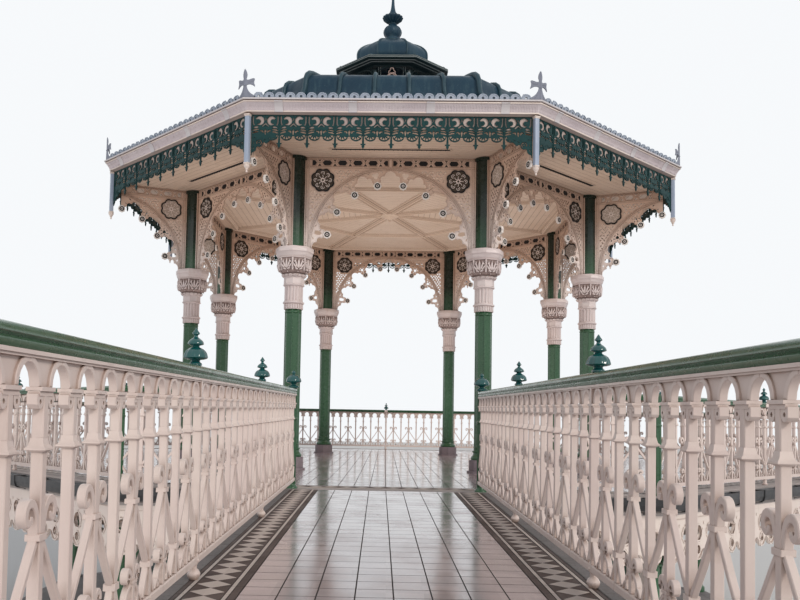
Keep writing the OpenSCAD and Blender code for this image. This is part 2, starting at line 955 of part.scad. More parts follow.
module valance_drop() {
    polygon([
        [-12, 2], [12, 2], [12, -40], [42, -46], [42, -66], [16, -72], [0, -115], [-16, -72], [-42, -66],
        [-42, -46], [-12, -40]
    ]);
}

// The openings of one bay: two scrolls above, two small rounds below
module valance_opening(p) {
    h = valance_h;
    for (s = [-1, 1]) {
        translate([s * p * 0.24, -h * 0.24]) circle(r = p * 0.15, $fn = fine_fn);
        translate([s * p * 0.25, -h * 0.7]) circle(r = p * 0.1, $fn = fine_fn);
    }
}

module valance_plate() {
    p = valance_l / valance_bays;
    l = valance_l / 2;
    h = valance_h;
    difference() {
        union() {
            translate([-l, -h]) square([valance_l, h]);
            for (i = [1 : valance_bays - 1])
                translate([-l + i * p, -h]) valance_drop();
            for (s = [-1, 1])
                polygon([
                    [s * l, 1 - h], [s * (l - p * 0.9), 1 - h], [s * (l - p * 0.45), -h - 90],
                    [s * l, -h - spandrel_h]
                ]);
        }
        for (i = [0 : valance_bays - 1])
            translate([-l + (i + 0.5) * p, 0]) valance_opening(p);
    }
}

module valance() {
    color(iron_green)
        for (k = [0 : sides - 1])
            translate([0, 0, valance_top])
                stand_on_side(k, valance_a, valance_t)
                    valance_plate();
}

module drop_posts() {
    w = drop_w;
    tip = 120;
    color(cream)
        for (k = [0 : sides - 1])
            rotate([0, 0, k * turn + half_turn])
                translate([fascia_a * to_corner + w / 2, 0, valance_top - drop_h]) {
                    translate([-w / 2, -w / 2, tip]) cube([w, w, drop_h - tip]);
                    rotate_extrude($fn = round_fn)
                        polygon([
                            [0, 0], [14, 10], [18, 30], [10, 48], [0.45 * w, 62], [0.6 * w, 80],
                            [0.6 * w, 100], [w / 2, tip + 1], [0, tip + 1]
                        ]);
                }
}

crest_a = eaves_a - 40;
crest_t = 14;
cross_half = 130;

module crest() {
    l = 2 * (crest_a * half_side - cross_half);
    p = l / crest_bays;
    r = p * 0.52;
    color(cream)
        translate([0, 0, cornice_top])
            for (k = [0 : sides - 1])
                stand_on_side(k, crest_a, crest_t) {
                    translate([-l / 2, 0]) square([l, crest_h - r]);
                    for (i = [0 : crest_bays - 1])
                        translate([-l / 2 + (i + 0.5) * p, crest_h - r]) circle(r = r, $fn = fine_fn);
                }
}

// One half of a corner cross, x running from the corner along the eaves
module half_cross() {
    h = cross_h;
    polygon([
        [0, 0], [cross_half - 5, 0], [cross_half - 8, 40], [85, 66], [50, 110], [28, 0.38 * h],
        [26, 0.44 * h], [60, 0.46 * h], [118, 0.4 * h], [108, 0.5 * h], [112, 0.66 * h], [92, 0.68 * h],
        [40, 0.62 * h], [22, 0.64 * h], [20, 0.7 * h], [28, 0.8 * h], [22, 0.92 * h], [0, h]
    ]);
}

module corner_crosses() {
    color(cream)
        for (k = [0 : sides - 1])
            rotate([0, 0, k * turn + half_turn])
                translate([crest_a * to_corner, 0, cornice_top])
                    for (s = [0, 1])
                        mirror([0, s, 0])
                            rotate([90, 0, 90 + half_turn])
                                translate([0, 0, -crest_t / 2])
                                    linear_extrude(crest_t) half_cross();
}

// Roof

crown_z = shoulder_z + 220;
dome_profile = [
    [dome_foot, cornice_h], [eaves_a - 620, cornice_h + 150], [0.794 * eaves_a, 0.48 * shoulder_z],
    [shoulder_a + 330, 0.68 * shoulder_z], [shoulder_a + 90, 0.84 * shoulder_z],
    [shoulder_a, 0.94 * shoulder_z], [shoulder_a - 130, shoulder_z],
    [0.72 * shoulder_a, shoulder_z + 110], [lantern_a, crown_z]
];

// The profile moved out by h, or in where h is negative
function moved_out(profile, h) = [
    for (i = [1 : len(profile) - 2])
        let (d = profile[i + 1] - profile[i - 1])
            profile[i] + h * [d[1], -d[0]] / norm(d)
];

module dome() {
    n = len(dome_profile);
    color(roof_grey)
        translate([0, 0, soffit_top])
            difference() {
                octagon_solid(dome_profile);
                octagon_solid(concat(
                    [[dome_foot - 100, cornice_h - 1]],
                    moved_out(dome_profile, -dome_t),
                    [[lantern_a - lantern_t, crown_z - dome_t], [lantern_a - lantern_t, crown_z + 1]]
                ));
            }
}

// The profile of the top of a roll of height h, from the eaves to the lantern
function roll_line(h) = concat(
    [[dome_foot + h, cornice_h]],
    moved_out(dome_profile, h),
    [[lantern_a, crown_z + h]]
);

// The band between the dome and the top of its rolls, on the side towards +X
module roll_band(h) {
    top = roll_line(h);
    rotate([90, 0, 0])
        linear_extrude(2.4 * eaves_a, center = true)
            polygon(concat(dome_profile, [for (i = [len(top) - 1 : -1 : 0]) top[i]]));
}

// A roll that climbs one face of the dome, turned by an angle from the middle of that face
module face_roll(angle) {
    intersection() {
        roll_band(roll_h);
        rotate([0, 0, angle])
            translate([0, -roll_w / 2, 0]) cube([1.2 * eaves_a, roll_w, 2 * crown_z]);
    }
}

// Half of the thicker roll on a hip, on the side towards +X
module hip_half() {
    w = 0.75 * roll_w;
    intersection() {
        roll_band(1.4 * roll_h);
        rotate([0, 0, half_turn])
            translate([0, -w, 0]) cube([1.2 * eaves_a, w, 2 * crown_z]);
    }
}

module hip_roll() {
    hip_half();
    mirror([sin(half_turn), -cos(half_turn), 0]) hip_half();
}

module dome_rolls() {
    bays = 5;
    color(roof_grey)
        translate([0, 0, soffit_top]) {
            for (k = [0 : sides - 1], i = [1 : bays - 1])
                rotate([0, 0, k * turn])
                    face_roll(atan((2 * i - bays) * half_side / bays));
            for (k = [0 : sides - 1])
                rotate([0, 0, k * turn]) hip_roll();
        }
}

lantern_z = soffit_top + crown_z;

module lantern() {
    post_w = 90;
    ring_h = 120;
    color(roof_grey)
        union() {
            octagon_ring(lantern_a, lantern_a - lantern_t, lantern_z, ring_h);
            octagon_ring(lantern_a, lantern_a - lantern_t, lantern_z + lantern_h - ring_h, ring_h);
            for (k = [0 : sides - 1])
                rotate([0, 0, k * turn + half_turn])
                    translate([(lantern_a - 20) * to_corner - post_w, -post_w / 2, lantern_z + ring_h / 2])
                        cube([post_w, post_w, lantern_h - ring_h]);
        }
}

// The rounded cap swells from its neck to a flat crown
module lantern_roof() {
    a = lantern_a;
    e = lantern_a + lantern_lip;
    neck = 0.64 * e;
    swell = 0.7 * e;
    cap_z = 480;
    color(roof_grey)
        translate([0, 0, lantern_z + lantern_h])
            octagon_solid([
                [a, 0], [a + 10, 60], [a + 60, 70], [a + 70, 120], [e - 110, 140], [e - 100, 200], [e, 240],
                [e, 320], [e - 60, 345], [neck + 40, 440], [neck + 40, cap_z], [neck, cap_z],
                [swell, cap_z + 0.16 * cap_h], [swell, cap_z + 0.42 * cap_h],
                [neck, cap_z + 0.62 * cap_h], [0.5 * e, cap_z + 0.82 * cap_h], [0.26 * e, cap_z + cap_h]
            ]);
}

module finial() {
    color(roof_grey)
        translate([0, 0, lantern_z + lantern_h + 480 + cap_h])
            rotate_extrude($fn = round_fn)
                polygon([
                    [0, 0], [150, 0], [165, 60], [185, 150], [190, 240], [165, 310], [110, 365], [75, 385],
                    [75, 400], [150, 420], [215, 470], [235, 530], [205, 585], [130, 625], [90, 640],
                    [105, 665], [60, 745], [36, 860], [24, 990], [45, 1020], [20, 1055],
                    [10, finial_h - 20], [0, finial_h]
                ]);
}

base_plinth();
lower_wall();
lower_frames();
lower_glass();
verandah_posts();
deck_beams();
deck_slab();
deck_coping();
deck_gutter();
deck_fringe();
bridge_deck();
bridge_girders();
bridge_pier();
bridge_balustrades();
deck_balustrade_left();
deck_balustrade_right();
deck_balustrade_back();
bridge_newels();
rail_finials();
deck_newels();
handrails();
column_blocks();
columns();
capitals();
arch_1();
arch_2();
arch_3();
arch_4();
arch_5();
arch_6();
arch_7();
arch_8();
eave_brackets();
ceiling();
ceiling_ribs();
cornice();
valance();
drop_posts();
crest();
corner_crosses();
dome();
dome_rolls();
lantern();
lantern_roof();
finial();
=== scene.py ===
# An octagonal bandstand on its deck, with the bridge that leads to it.
import math
import random

import bmesh
import bpy
from mathutils import Matrix, Vector


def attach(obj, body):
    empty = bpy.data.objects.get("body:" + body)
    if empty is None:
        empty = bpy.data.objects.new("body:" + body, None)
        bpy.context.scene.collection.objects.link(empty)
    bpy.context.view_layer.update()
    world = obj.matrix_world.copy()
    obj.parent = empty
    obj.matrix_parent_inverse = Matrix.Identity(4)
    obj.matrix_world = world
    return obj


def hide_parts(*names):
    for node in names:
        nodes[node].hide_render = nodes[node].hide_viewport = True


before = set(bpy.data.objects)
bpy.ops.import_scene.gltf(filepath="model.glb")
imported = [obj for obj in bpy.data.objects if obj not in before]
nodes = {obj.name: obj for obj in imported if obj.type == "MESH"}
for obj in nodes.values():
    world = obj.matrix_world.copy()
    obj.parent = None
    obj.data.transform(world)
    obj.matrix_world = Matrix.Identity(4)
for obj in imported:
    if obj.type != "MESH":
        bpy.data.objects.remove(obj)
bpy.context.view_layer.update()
random.seed(7)

site = {
    "deck": 3.2, "deckA": 7.45, "edgeA": 7.58,
    "columnR": 4.0, "columnA": 3.6955, "gap": 1.53073,
    "capitalTop": 6.76, "soffit": 8.27, "corniceTop": 8.66, "valanceTop": 8.46,
    "valanceA": 5.067, "fasciaA": 5.055,
    "bridgeHalf": 1.085, "bridgeLip": 0.16, "panel": 2.58, "panels": 4, "fall": 1.0, "skew": 0.4,
    "railZ": 1.15, "newelR": 0.042,
}
halfSide = math.tan(math.radians(22.5))
toCorner = 1 / math.cos(math.radians(22.5))


# ---- places

def onSide(k):
    # x along the side, y outwards, z up
    return spinZ(45 * k - 90)


def onCorner(k):
    # x outwards through the corner
    return spinZ(45 * k + 22.5)


def move(x=0, y=0, z=0):
    return Matrix.Translation((x, y, z))


def atColumn(k, z):
    return onCorner(k) @ move(site["columnR"], 0, z)


def atDeckSide(k):
    return onSide(k) @ move(0, site["deckA"], site["deck"])


def spin(degrees, axis):
    return Matrix.Rotation(math.radians(degrees), 4, axis)


def spinZ(degrees):
    return spin(degrees, "Z")


def scaled(x, y=1, z=1):
    return Matrix.Diagonal((x, y, z, 1))


standUp = spin(90, "X")
onBridge = move(0, -site["deckA"], site["deck"]) @ spin(site["fall"], "X") @ spinZ(site["skew"])


# ---- mesh helpers

def meshFrom(bm, name="part"):
    mesh = bpy.data.meshes.new(name)
    bm.to_mesh(mesh)
    bm.free()
    return mesh


def addMesh(bm, mesh, place=Matrix()):
    copy = mesh.copy()
    copy.transform(place)
    if place.determinant() < 0:
        copy.flip_normals()
    bm.from_mesh(copy)
    bpy.data.meshes.remove(copy)


def addShape(bm, shape, place=Matrix()):
    # joins one finished bmesh to another
    mesh = meshFrom(shape)
    addMesh(bm, mesh, place)
    bpy.data.meshes.remove(mesh)


def repeated(mesh, places):
    bm = bmesh.new()
    for place in places:
        addMesh(bm, mesh, place)
    return bm


def bevelEdges(bm, edges, offset, segments=2):
    bmesh.ops.bevel(bm, geom=edges, offset=offset, affect="EDGES", segments=segments, profile=0.5, material=-1)


def addBar(bm, size, middle, place=Matrix(), bevel=0.0):
    bar = bmesh.new()
    bmesh.ops.create_cube(bar, size=1.0)
    bmesh.ops.scale(bar, vec=size, verts=bar.verts)
    if bevel:
        bevelEdges(bar, bar.edges[:], bevel, 1)
    addShape(bm, bar, place @ move(*middle))


def addTurned(bm, profile, steps=24, place=Matrix()):
    # spins a profile of (radius, height) about z
    verts = [bm.verts.new((r, 0, z)) for r, z in profile]
    edges = [bm.edges.new(pair) for pair in zip(verts, verts[1:])]
    bmesh.ops.spin(bm, geom=verts + edges, cent=(0, 0, 0), axis=(0, 0, 1), angle=math.radians(360), steps=steps,
                   use_merge=True)
    found = set(verts)
    stack = list(verts)
    while stack:
        for e in stack.pop().link_edges:
            for v in e.verts:
                if v not in found:
                    found.add(v)
                    stack.append(v)
    found = list(found)
    bmesh.ops.remove_doubles(bm, verts=found, dist=0.00002)
    found = [v for v in found if v.is_valid]
    faces = list({f for v in found for f in v.link_faces})
    bmesh.ops.recalc_face_normals(bm, faces=faces)
    bmesh.ops.transform(bm, matrix=place, verts=found)
    return found


def curveMesh(curve, lines, closed, place):
    # adds the lines to a curve and turns it to a mesh
    for points in lines:
        spline = curve.splines.new("POLY")
        spline.points.add(len(points) - 1)
        for point, at in zip(spline.points, points):
            point.co = (*at, 1)
        spline.use_cyclic_u = closed
    holder = bpy.data.objects.new("line", curve)
    bpy.context.scene.collection.objects.link(holder)
    mesh = bpy.data.meshes.new_from_object(holder.evaluated_get(bpy.context.evaluated_depsgraph_get()))
    bpy.data.objects.remove(holder)
    bpy.data.curves.remove(curve)
    mesh.transform(place)
    return mesh


def plate(outlines, thick, bevel=0.0):
    # a flat plate with holes, standing in the xz plane, its thickness along y
    curve = bpy.data.curves.new("outline", "CURVE")
    curve.dimensions = "2D"
    curve.fill_mode = "BOTH"
    curve.extrude = thick / 2 - bevel
    curve.bevel_depth = bevel
    curve.bevel_resolution = 0
    curve.offset = -bevel
    return curveMesh(curve, [[(x, y, 0) for x, y in points] for points in outlines], True, standUp)


def tube(points, radius, closed=False, corners=1, place=Matrix()):
    # a round bead along a line
    curve = bpy.data.curves.new("bead", "CURVE")
    curve.dimensions = "3D"
    curve.bevel_depth = radius
    curve.bevel_resolution = corners
    curve.use_fill_caps = not closed
    return curveMesh(curve, [points], closed, place)


def sweep(profile, length):
    # a straight moulding: the profile in yz, drawn along x
    bm = bmesh.new()
    verts = [bm.verts.new((0, y, z)) for y, z in profile]
    face = bm.faces.new(verts)
    made = bmesh.ops.extrude_face_region(bm, geom=[face])["geom"]
    bmesh.ops.translate(bm, vec=(length, 0, 0), verts=[g for g in made if isinstance(g, bmesh.types.BMVert)])
    bmesh.ops.recalc_face_normals(bm, faces=bm.faces)
    return bm


def mitred(profile):
    # an octagonal moulding: the profile of (apothem, height) spun in eight steps with flat sides
    bm = bmesh.new()
    verts = [bm.verts.new((a * toCorner, 0, z)) for a, z in profile]
    edges = [bm.edges.new((verts[i], verts[(i + 1) % len(verts)])) for i in range(len(verts))]
    bmesh.ops.rotate(bm, cent=(0, 0, 0), matrix=Matrix.Rotation(math.radians(22.5), 3, "Z"), verts=verts)
    bmesh.ops.spin(bm, geom=verts + edges, cent=(0, 0, 0), axis=(0, 0, 1), angle=math.radians(360),
                   steps=8, use_merge=True)
    bmesh.ops.remove_doubles(bm, verts=bm.verts, dist=0.0001)
    bmesh.ops.recalc_face_normals(bm, faces=bm.faces)
    return bm


def followed(section, line, place=Matrix()):
    # a section of (across, up) drawn along a line of (x, z) that lies in the xz plane
    bm = bmesh.new()
    loops = []
    for i, (x, z) in enumerate(line):
        x0, z0 = line[max(i - 1, 0)]
        x1, z1 = line[min(i + 1, len(line) - 1)]
        d = math.hypot(x1 - x0, z1 - z0)
        nx, nz = (z1 - z0) / d, -(x1 - x0) / d
        capped = i in (0, len(line) - 1)
        made = bmesh.ops.create_circle(bm, cap_ends=capped, segments=len(section), radius=1)["verts"]
        for v, (across, up) in zip(made, section):
            v.co = (x + nx * up, across, z + nz * up)
        loops.append(list({e for v in made for e in v.link_edges if e.other_vert(v) in made}))
    for low, high in zip(loops, loops[1:]):
        bmesh.ops.bridge_loops(bm, edges=low + high)
    bmesh.ops.recalc_face_normals(bm, faces=bm.faces)
    bmesh.ops.transform(bm, matrix=place, verts=bm.verts)
    return bm


# the share of its triangles that a fine piece keeps
lighter = {
    "bridgeRailing": 0.7, "deckRailingLeft": 0.65, "deckRailingRight": 0.65, "capitalCasts": 0.55,
    "valanceScrolls": 0.75, "valanceDrops": 0.6, "rosettes": 0.45, "fretDarks": 0.6, "roundelTracery": 0.6,
    "eaveFret": 0.8, "crestScallops": 0.5, "corniceReeds": 0.5, "fringeRims": 0.4, "postBraces": 0.5,
    "girderRivets": 0.5, "postRings": 0.6, "deckNewelSetBulbs": 0.6,
}


def thinned(obj, share):
    modifier = obj.modifiers.new("lighter", "DECIMATE")
    modifier.ratio = share
    heavy = obj.data
    mesh = bpy.data.meshes.new_from_object(obj.evaluated_get(bpy.context.evaluated_depsgraph_get()))
    obj.modifiers.clear()
    obj.data = mesh
    bpy.data.meshes.remove(heavy)
    mesh.validate()
    mesh.name = obj.name
    return mesh


def piece(name, bm, finish, hides=(), smooth=32):
    mesh = bm if isinstance(bm, bpy.types.Mesh) else meshFrom(bm, name)
    mesh.name = name
    obj = bpy.data.objects.new(name, mesh)
    bpy.context.scene.collection.objects.link(obj)
    if name in lighter:
        mesh = thinned(obj, lighter[name])
    mesh.materials.append(finishes[finish])
    if smooth:
        mesh.shade_smooth()
        mesh.set_sharp_from_angle(angle=math.radians(smooth))
    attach(obj, "root")
    if hides:
        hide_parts(*hides)
    return obj


# ---- outlines

def arc(cx, cy, r, start, end, count):
    steps = [math.radians(start + (end - start) * i / count) for i in range(count + 1)]
    return [(cx + r * math.cos(a), cy + r * math.sin(a)) for a in steps]


def ring(cx, cy, r, count=16):
    return arc(cx, cy, r, 0, 360 * (count - 1) / count, count - 1)


def leaf(cx, cy, length, width, angle, bend=0.0):
    # a pointed leaf whose middle line may bend
    half = [(-0.5, 0), (-0.2, 0.42), (0.18, 0.36), (0.5, 0)]
    pts = half + [(x, -y * 0.75) for x, y in reversed(half[1:-1])]
    c, s = math.cos(angle), math.sin(angle)
    out = []
    for x, y in pts:
        u, v = x * length, y * width + bend * length * (x * x - 0.25)
        out.append((cx + u * c - v * s, cy + u * s + v * c))
    return out


def lobed(cx, cy, r, lobes, depth, count=6, turn=0):
    # a ring of round lobes
    out = []
    for i in range(lobes * count):
        a = math.radians(turn) + 2 * math.pi * i / (lobes * count)
        wave = abs(math.cos(lobes * (a - math.radians(turn)) / 2))
        far = r * (1 - depth * (1 - wave))
        out.append((cx + far * math.cos(a), cy + far * math.sin(a)))
    return out


def stroke(points, width, taper=None):
    # turns a middle line into a closed band outline
    left, right = [], []
    for i, (x, y) in enumerate(points):
        x0, y0 = points[max(i - 1, 0)]
        x1, y1 = points[min(i + 1, len(points) - 1)]
        d = math.hypot(x1 - x0, y1 - y0) or 1
        w = width / 2 * (taper[i] if taper else 1)
        left.append((x - (y1 - y0) / d * w, y + (x1 - x0) / d * w))
        right.append((x + (y1 - y0) / d * w, y - (x1 - x0) / d * w))
    return left + right[::-1]


def flipped(points):
    return [(-x, y) for x, y in reversed(points)]


def raised(points, z):
    return [(x, z + h) for x, h in points]


def smoothLine(points, count=4):
    # Catmull-Rom points through the given ones
    out = []
    for i in range(len(points) - 1):
        p0, p1 = points[max(i - 1, 0)], points[i]
        p2, p3 = points[i + 1], points[min(i + 2, len(points) - 1)]
        for j in range(count):
            t = j / count
            out.append(tuple(0.5 * (2 * b + (c - a) * t + (2 * a - 5 * b + 4 * c - d) * t * t
                                    + (3 * b - a - 3 * c + d) * t ** 3) for a, b, c, d in zip(p0, p1, p2, p3)))
    return out + [points[-1]]


# ---- camera, light and floor

view = {
    "at": (-0.0164, -17.1538, 3.9671), "lens": 37.85, "yaw": -1.4213, "pitch": 3.4316, "roll": 1.036,
    "shiftX": 0.0433, "shiftY": 0.0903,
}


def makeCamera():
    yaw, pitch, roll = (math.radians(view[n]) for n in ("yaw", "pitch", "roll"))
    ahead = Vector((math.sin(yaw) * math.cos(pitch), math.cos(yaw) * math.cos(pitch), math.sin(pitch)))
    right = Vector((math.cos(yaw), -math.sin(yaw), 0))
    up = right.cross(ahead)
    right, up = right * math.cos(roll) + up * math.sin(roll), up * math.cos(roll) - right * math.sin(roll)
    data = bpy.data.cameras.new("photoView")
    data.sensor_width = 36
    data.lens = view["lens"]
    data.shift_x = view["shiftX"]
    data.shift_y = view["shiftY"]
    data.clip_start = 0.05
    data.clip_end = 400
    camera = bpy.data.objects.new("photoView", data)
    bpy.context.scene.collection.objects.link(camera)
    camera.matrix_world = Matrix((
        (right.x, up.x, -ahead.x, view["at"][0]), (right.y, up.y, -ahead.y, view["at"][1]),
        (right.z, up.z, -ahead.z, view["at"][2]), (0, 0, 0, 1)))
    bpy.context.scene.camera = camera


light = {
    "sky": (0.95, 0.97, 1.0), "skyStrength": 0.42, "behind": (0.93, 0.95, 0.97),
    "sunColour": (1.0, 0.93, 0.85), "sun": 1.35, "sunSoft": 10, "sunFrom": (0.85, -0.9, 0.65),
    "fill": 1.05, "fillColour": (1.0, 0.93, 0.87), "fillFrom": (-0.3, -1.0, -0.35),
    "glow": 105, "glowColour": (1.0, 0.9, 0.8), "glowWide": 6.6, "glowZ": 3.7,
}


def makeLight():
    scene = bpy.context.scene
    world = bpy.data.worlds.new("studio")
    scene.world = world
    world.use_nodes = True
    tree = world.node_tree
    tree.nodes.clear()
    out = tree.nodes.new("ShaderNodeOutputWorld")
    path = tree.nodes.new("ShaderNodeLightPath").outputs
    seen = calc(tree, "MAXIMUM", path["Is Camera Ray"], path["Is Transmission Ray"])
    mix = tree.nodes.new("ShaderNodeMixShader")
    tree.links.new(calc(tree, "MAXIMUM", seen, path["Is Glossy Ray"]), mix.inputs[0])
    # what lights the piece, then what the camera sees behind it
    for i, colour, strength in ((1, light["sky"], light["skyStrength"]), (2, light["behind"], 1)):
        back = tree.nodes.new("ShaderNodeBackground")
        back.inputs["Color"].default_value = (*colour, 1)
        back.inputs["Strength"].default_value = strength
        tree.links.new(back.outputs[0], mix.inputs[i])
    tree.links.new(mix.outputs[0], out.inputs["Surface"])
    for name, power, soft, colour, fromWhere in (
            ("keySun", light["sun"], light["sunSoft"], light["sunColour"], light["sunFrom"]),
            ("fillSun", light["fill"], 60, light["fillColour"], light["fillFrom"])):
        data = bpy.data.lights.new(name, "SUN")
        data.energy = power
        data.angle = math.radians(soft)
        data.color = colour
        lamp = bpy.data.objects.new(name, data)
        lamp.rotation_euler = Vector(fromWhere).to_track_quat("Z", "Y").to_euler()
        scene.collection.objects.link(lamp)
    data = bpy.data.lights.new("roofGlow", "AREA")
    data.shape = "DISK"
    data.size = light["glowWide"]
    data.energy = light["glow"]
    data.color = light["glowColour"]
    lamp = bpy.data.objects.new("roofGlow", data)
    lamp.location = (0, 0, light["glowZ"])
    lamp.rotation_euler = (math.pi, 0, 0)
    lamp.visible_camera = False
    lamp.visible_glossy = False
    scene.collection.objects.link(lamp)
    bm = bmesh.new()
    bmesh.ops.create_circle(bm, cap_ends=True, segments=64, radius=160)
    mesh = meshFrom(bm, "paleFloor")
    floor = bpy.data.objects.new("paleFloor", mesh)
    scene.collection.objects.link(floor)
    mesh.materials.append(finishes["paleFloor"])
    floor.visible_shadow = False    # lets the low fill light through from below
    scene.view_settings.view_transform = "Standard"


# ---- finishes

finishes = {}


def ownPlace(tree):
    return tree.nodes.new("ShaderNodeTexCoord").outputs["Object"]


def coordinates(tree, scale=(1, 1, 1)):
    mapping = tree.nodes.new("ShaderNodeMapping")
    mapping.inputs["Scale"].default_value = scale
    tree.links.new(ownPlace(tree), mapping.inputs["Vector"])
    return mapping.outputs["Vector"]


def heightOf(tree):
    split = tree.nodes.new("ShaderNodeSeparateXYZ")
    tree.links.new(ownPlace(tree), split.inputs[0])
    return split.outputs["Z"]


def vectorStep(tree, kind, value, other=(0, 0, 0)):
    node = tree.nodes.new("ShaderNodeVectorMath")
    node.operation = kind
    node.inputs[1].default_value = other
    tree.links.new(value, node.inputs[0])
    return node.outputs[0]


def noise(tree, scale, detail=3, stretch=(1, 1, 1), rough=0.55):
    node = tree.nodes.new("ShaderNodeTexNoise")
    node.inputs["Scale"].default_value = scale
    node.inputs["Detail"].default_value = detail
    node.inputs["Roughness"].default_value = rough
    tree.links.new(coordinates(tree, stretch), node.inputs["Vector"])
    return node.outputs["Fac"]


def spread(tree, value, low, high, outLow=0.0, outHigh=1.0):
    node = tree.nodes.new("ShaderNodeMapRange")
    node.inputs["From Min"].default_value = low
    node.inputs["From Max"].default_value = high
    node.inputs["To Min"].default_value = outLow
    node.inputs["To Max"].default_value = outHigh
    tree.links.new(value, node.inputs["Value"])
    return node.outputs["Result"]


def blend(tree, factor, a, b, kind="MIX"):
    node = tree.nodes.new("ShaderNodeMix")
    node.data_type = "RGBA"
    node.blend_type = kind
    for slot, value in ((0, factor), (6, a), (7, b)):
        if isinstance(value, bpy.types.NodeSocket):
            tree.links.new(value, node.inputs[slot])
        elif slot == 0:
            node.inputs[0].default_value = value
        else:
            node.inputs[slot].default_value = (*value, 1)
    return node.outputs[2]


def calc(tree, kind, a, b=0.5):
    node = tree.nodes.new("ShaderNodeMath")
    node.operation = kind
    for i, value in enumerate((a, b)):
        if isinstance(value, bpy.types.NodeSocket):
            tree.links.new(value, node.inputs[i])
        else:
            node.inputs[i].default_value = value
    return node.outputs[0]


def newFinish(name, roughness=0.5, metallic=0.0, coat=0.0, specular=0.5):
    mat = bpy.data.materials.new(name)
    mat.use_nodes = True
    shader = mat.node_tree.nodes["Principled BSDF"]
    shader.inputs["Roughness"].default_value = roughness
    shader.inputs["Metallic"].default_value = metallic
    shader.inputs["Coat Weight"].default_value = coat
    shader.inputs["Coat Roughness"].default_value = 0.12
    shader.inputs["Specular IOR Level"].default_value = specular
    finishes[name] = mat
    return mat.node_tree, shader


def roughen(tree, shader, scale, detail, low, high):
    varied = spread(tree, noise(tree, scale, detail), 0.35, 0.65, low, high)
    tree.links.new(varied, shader.inputs["Roughness"])


def addBump(tree, shader, height, strength, distance=0.002):
    bump = tree.nodes.new("ShaderNodeBump")
    bump.inputs["Strength"].default_value = strength
    bump.inputs["Distance"].default_value = distance
    tree.links.new(height, bump.inputs["Height"])
    tree.links.new(bump.outputs["Normal"], shader.inputs["Normal"])


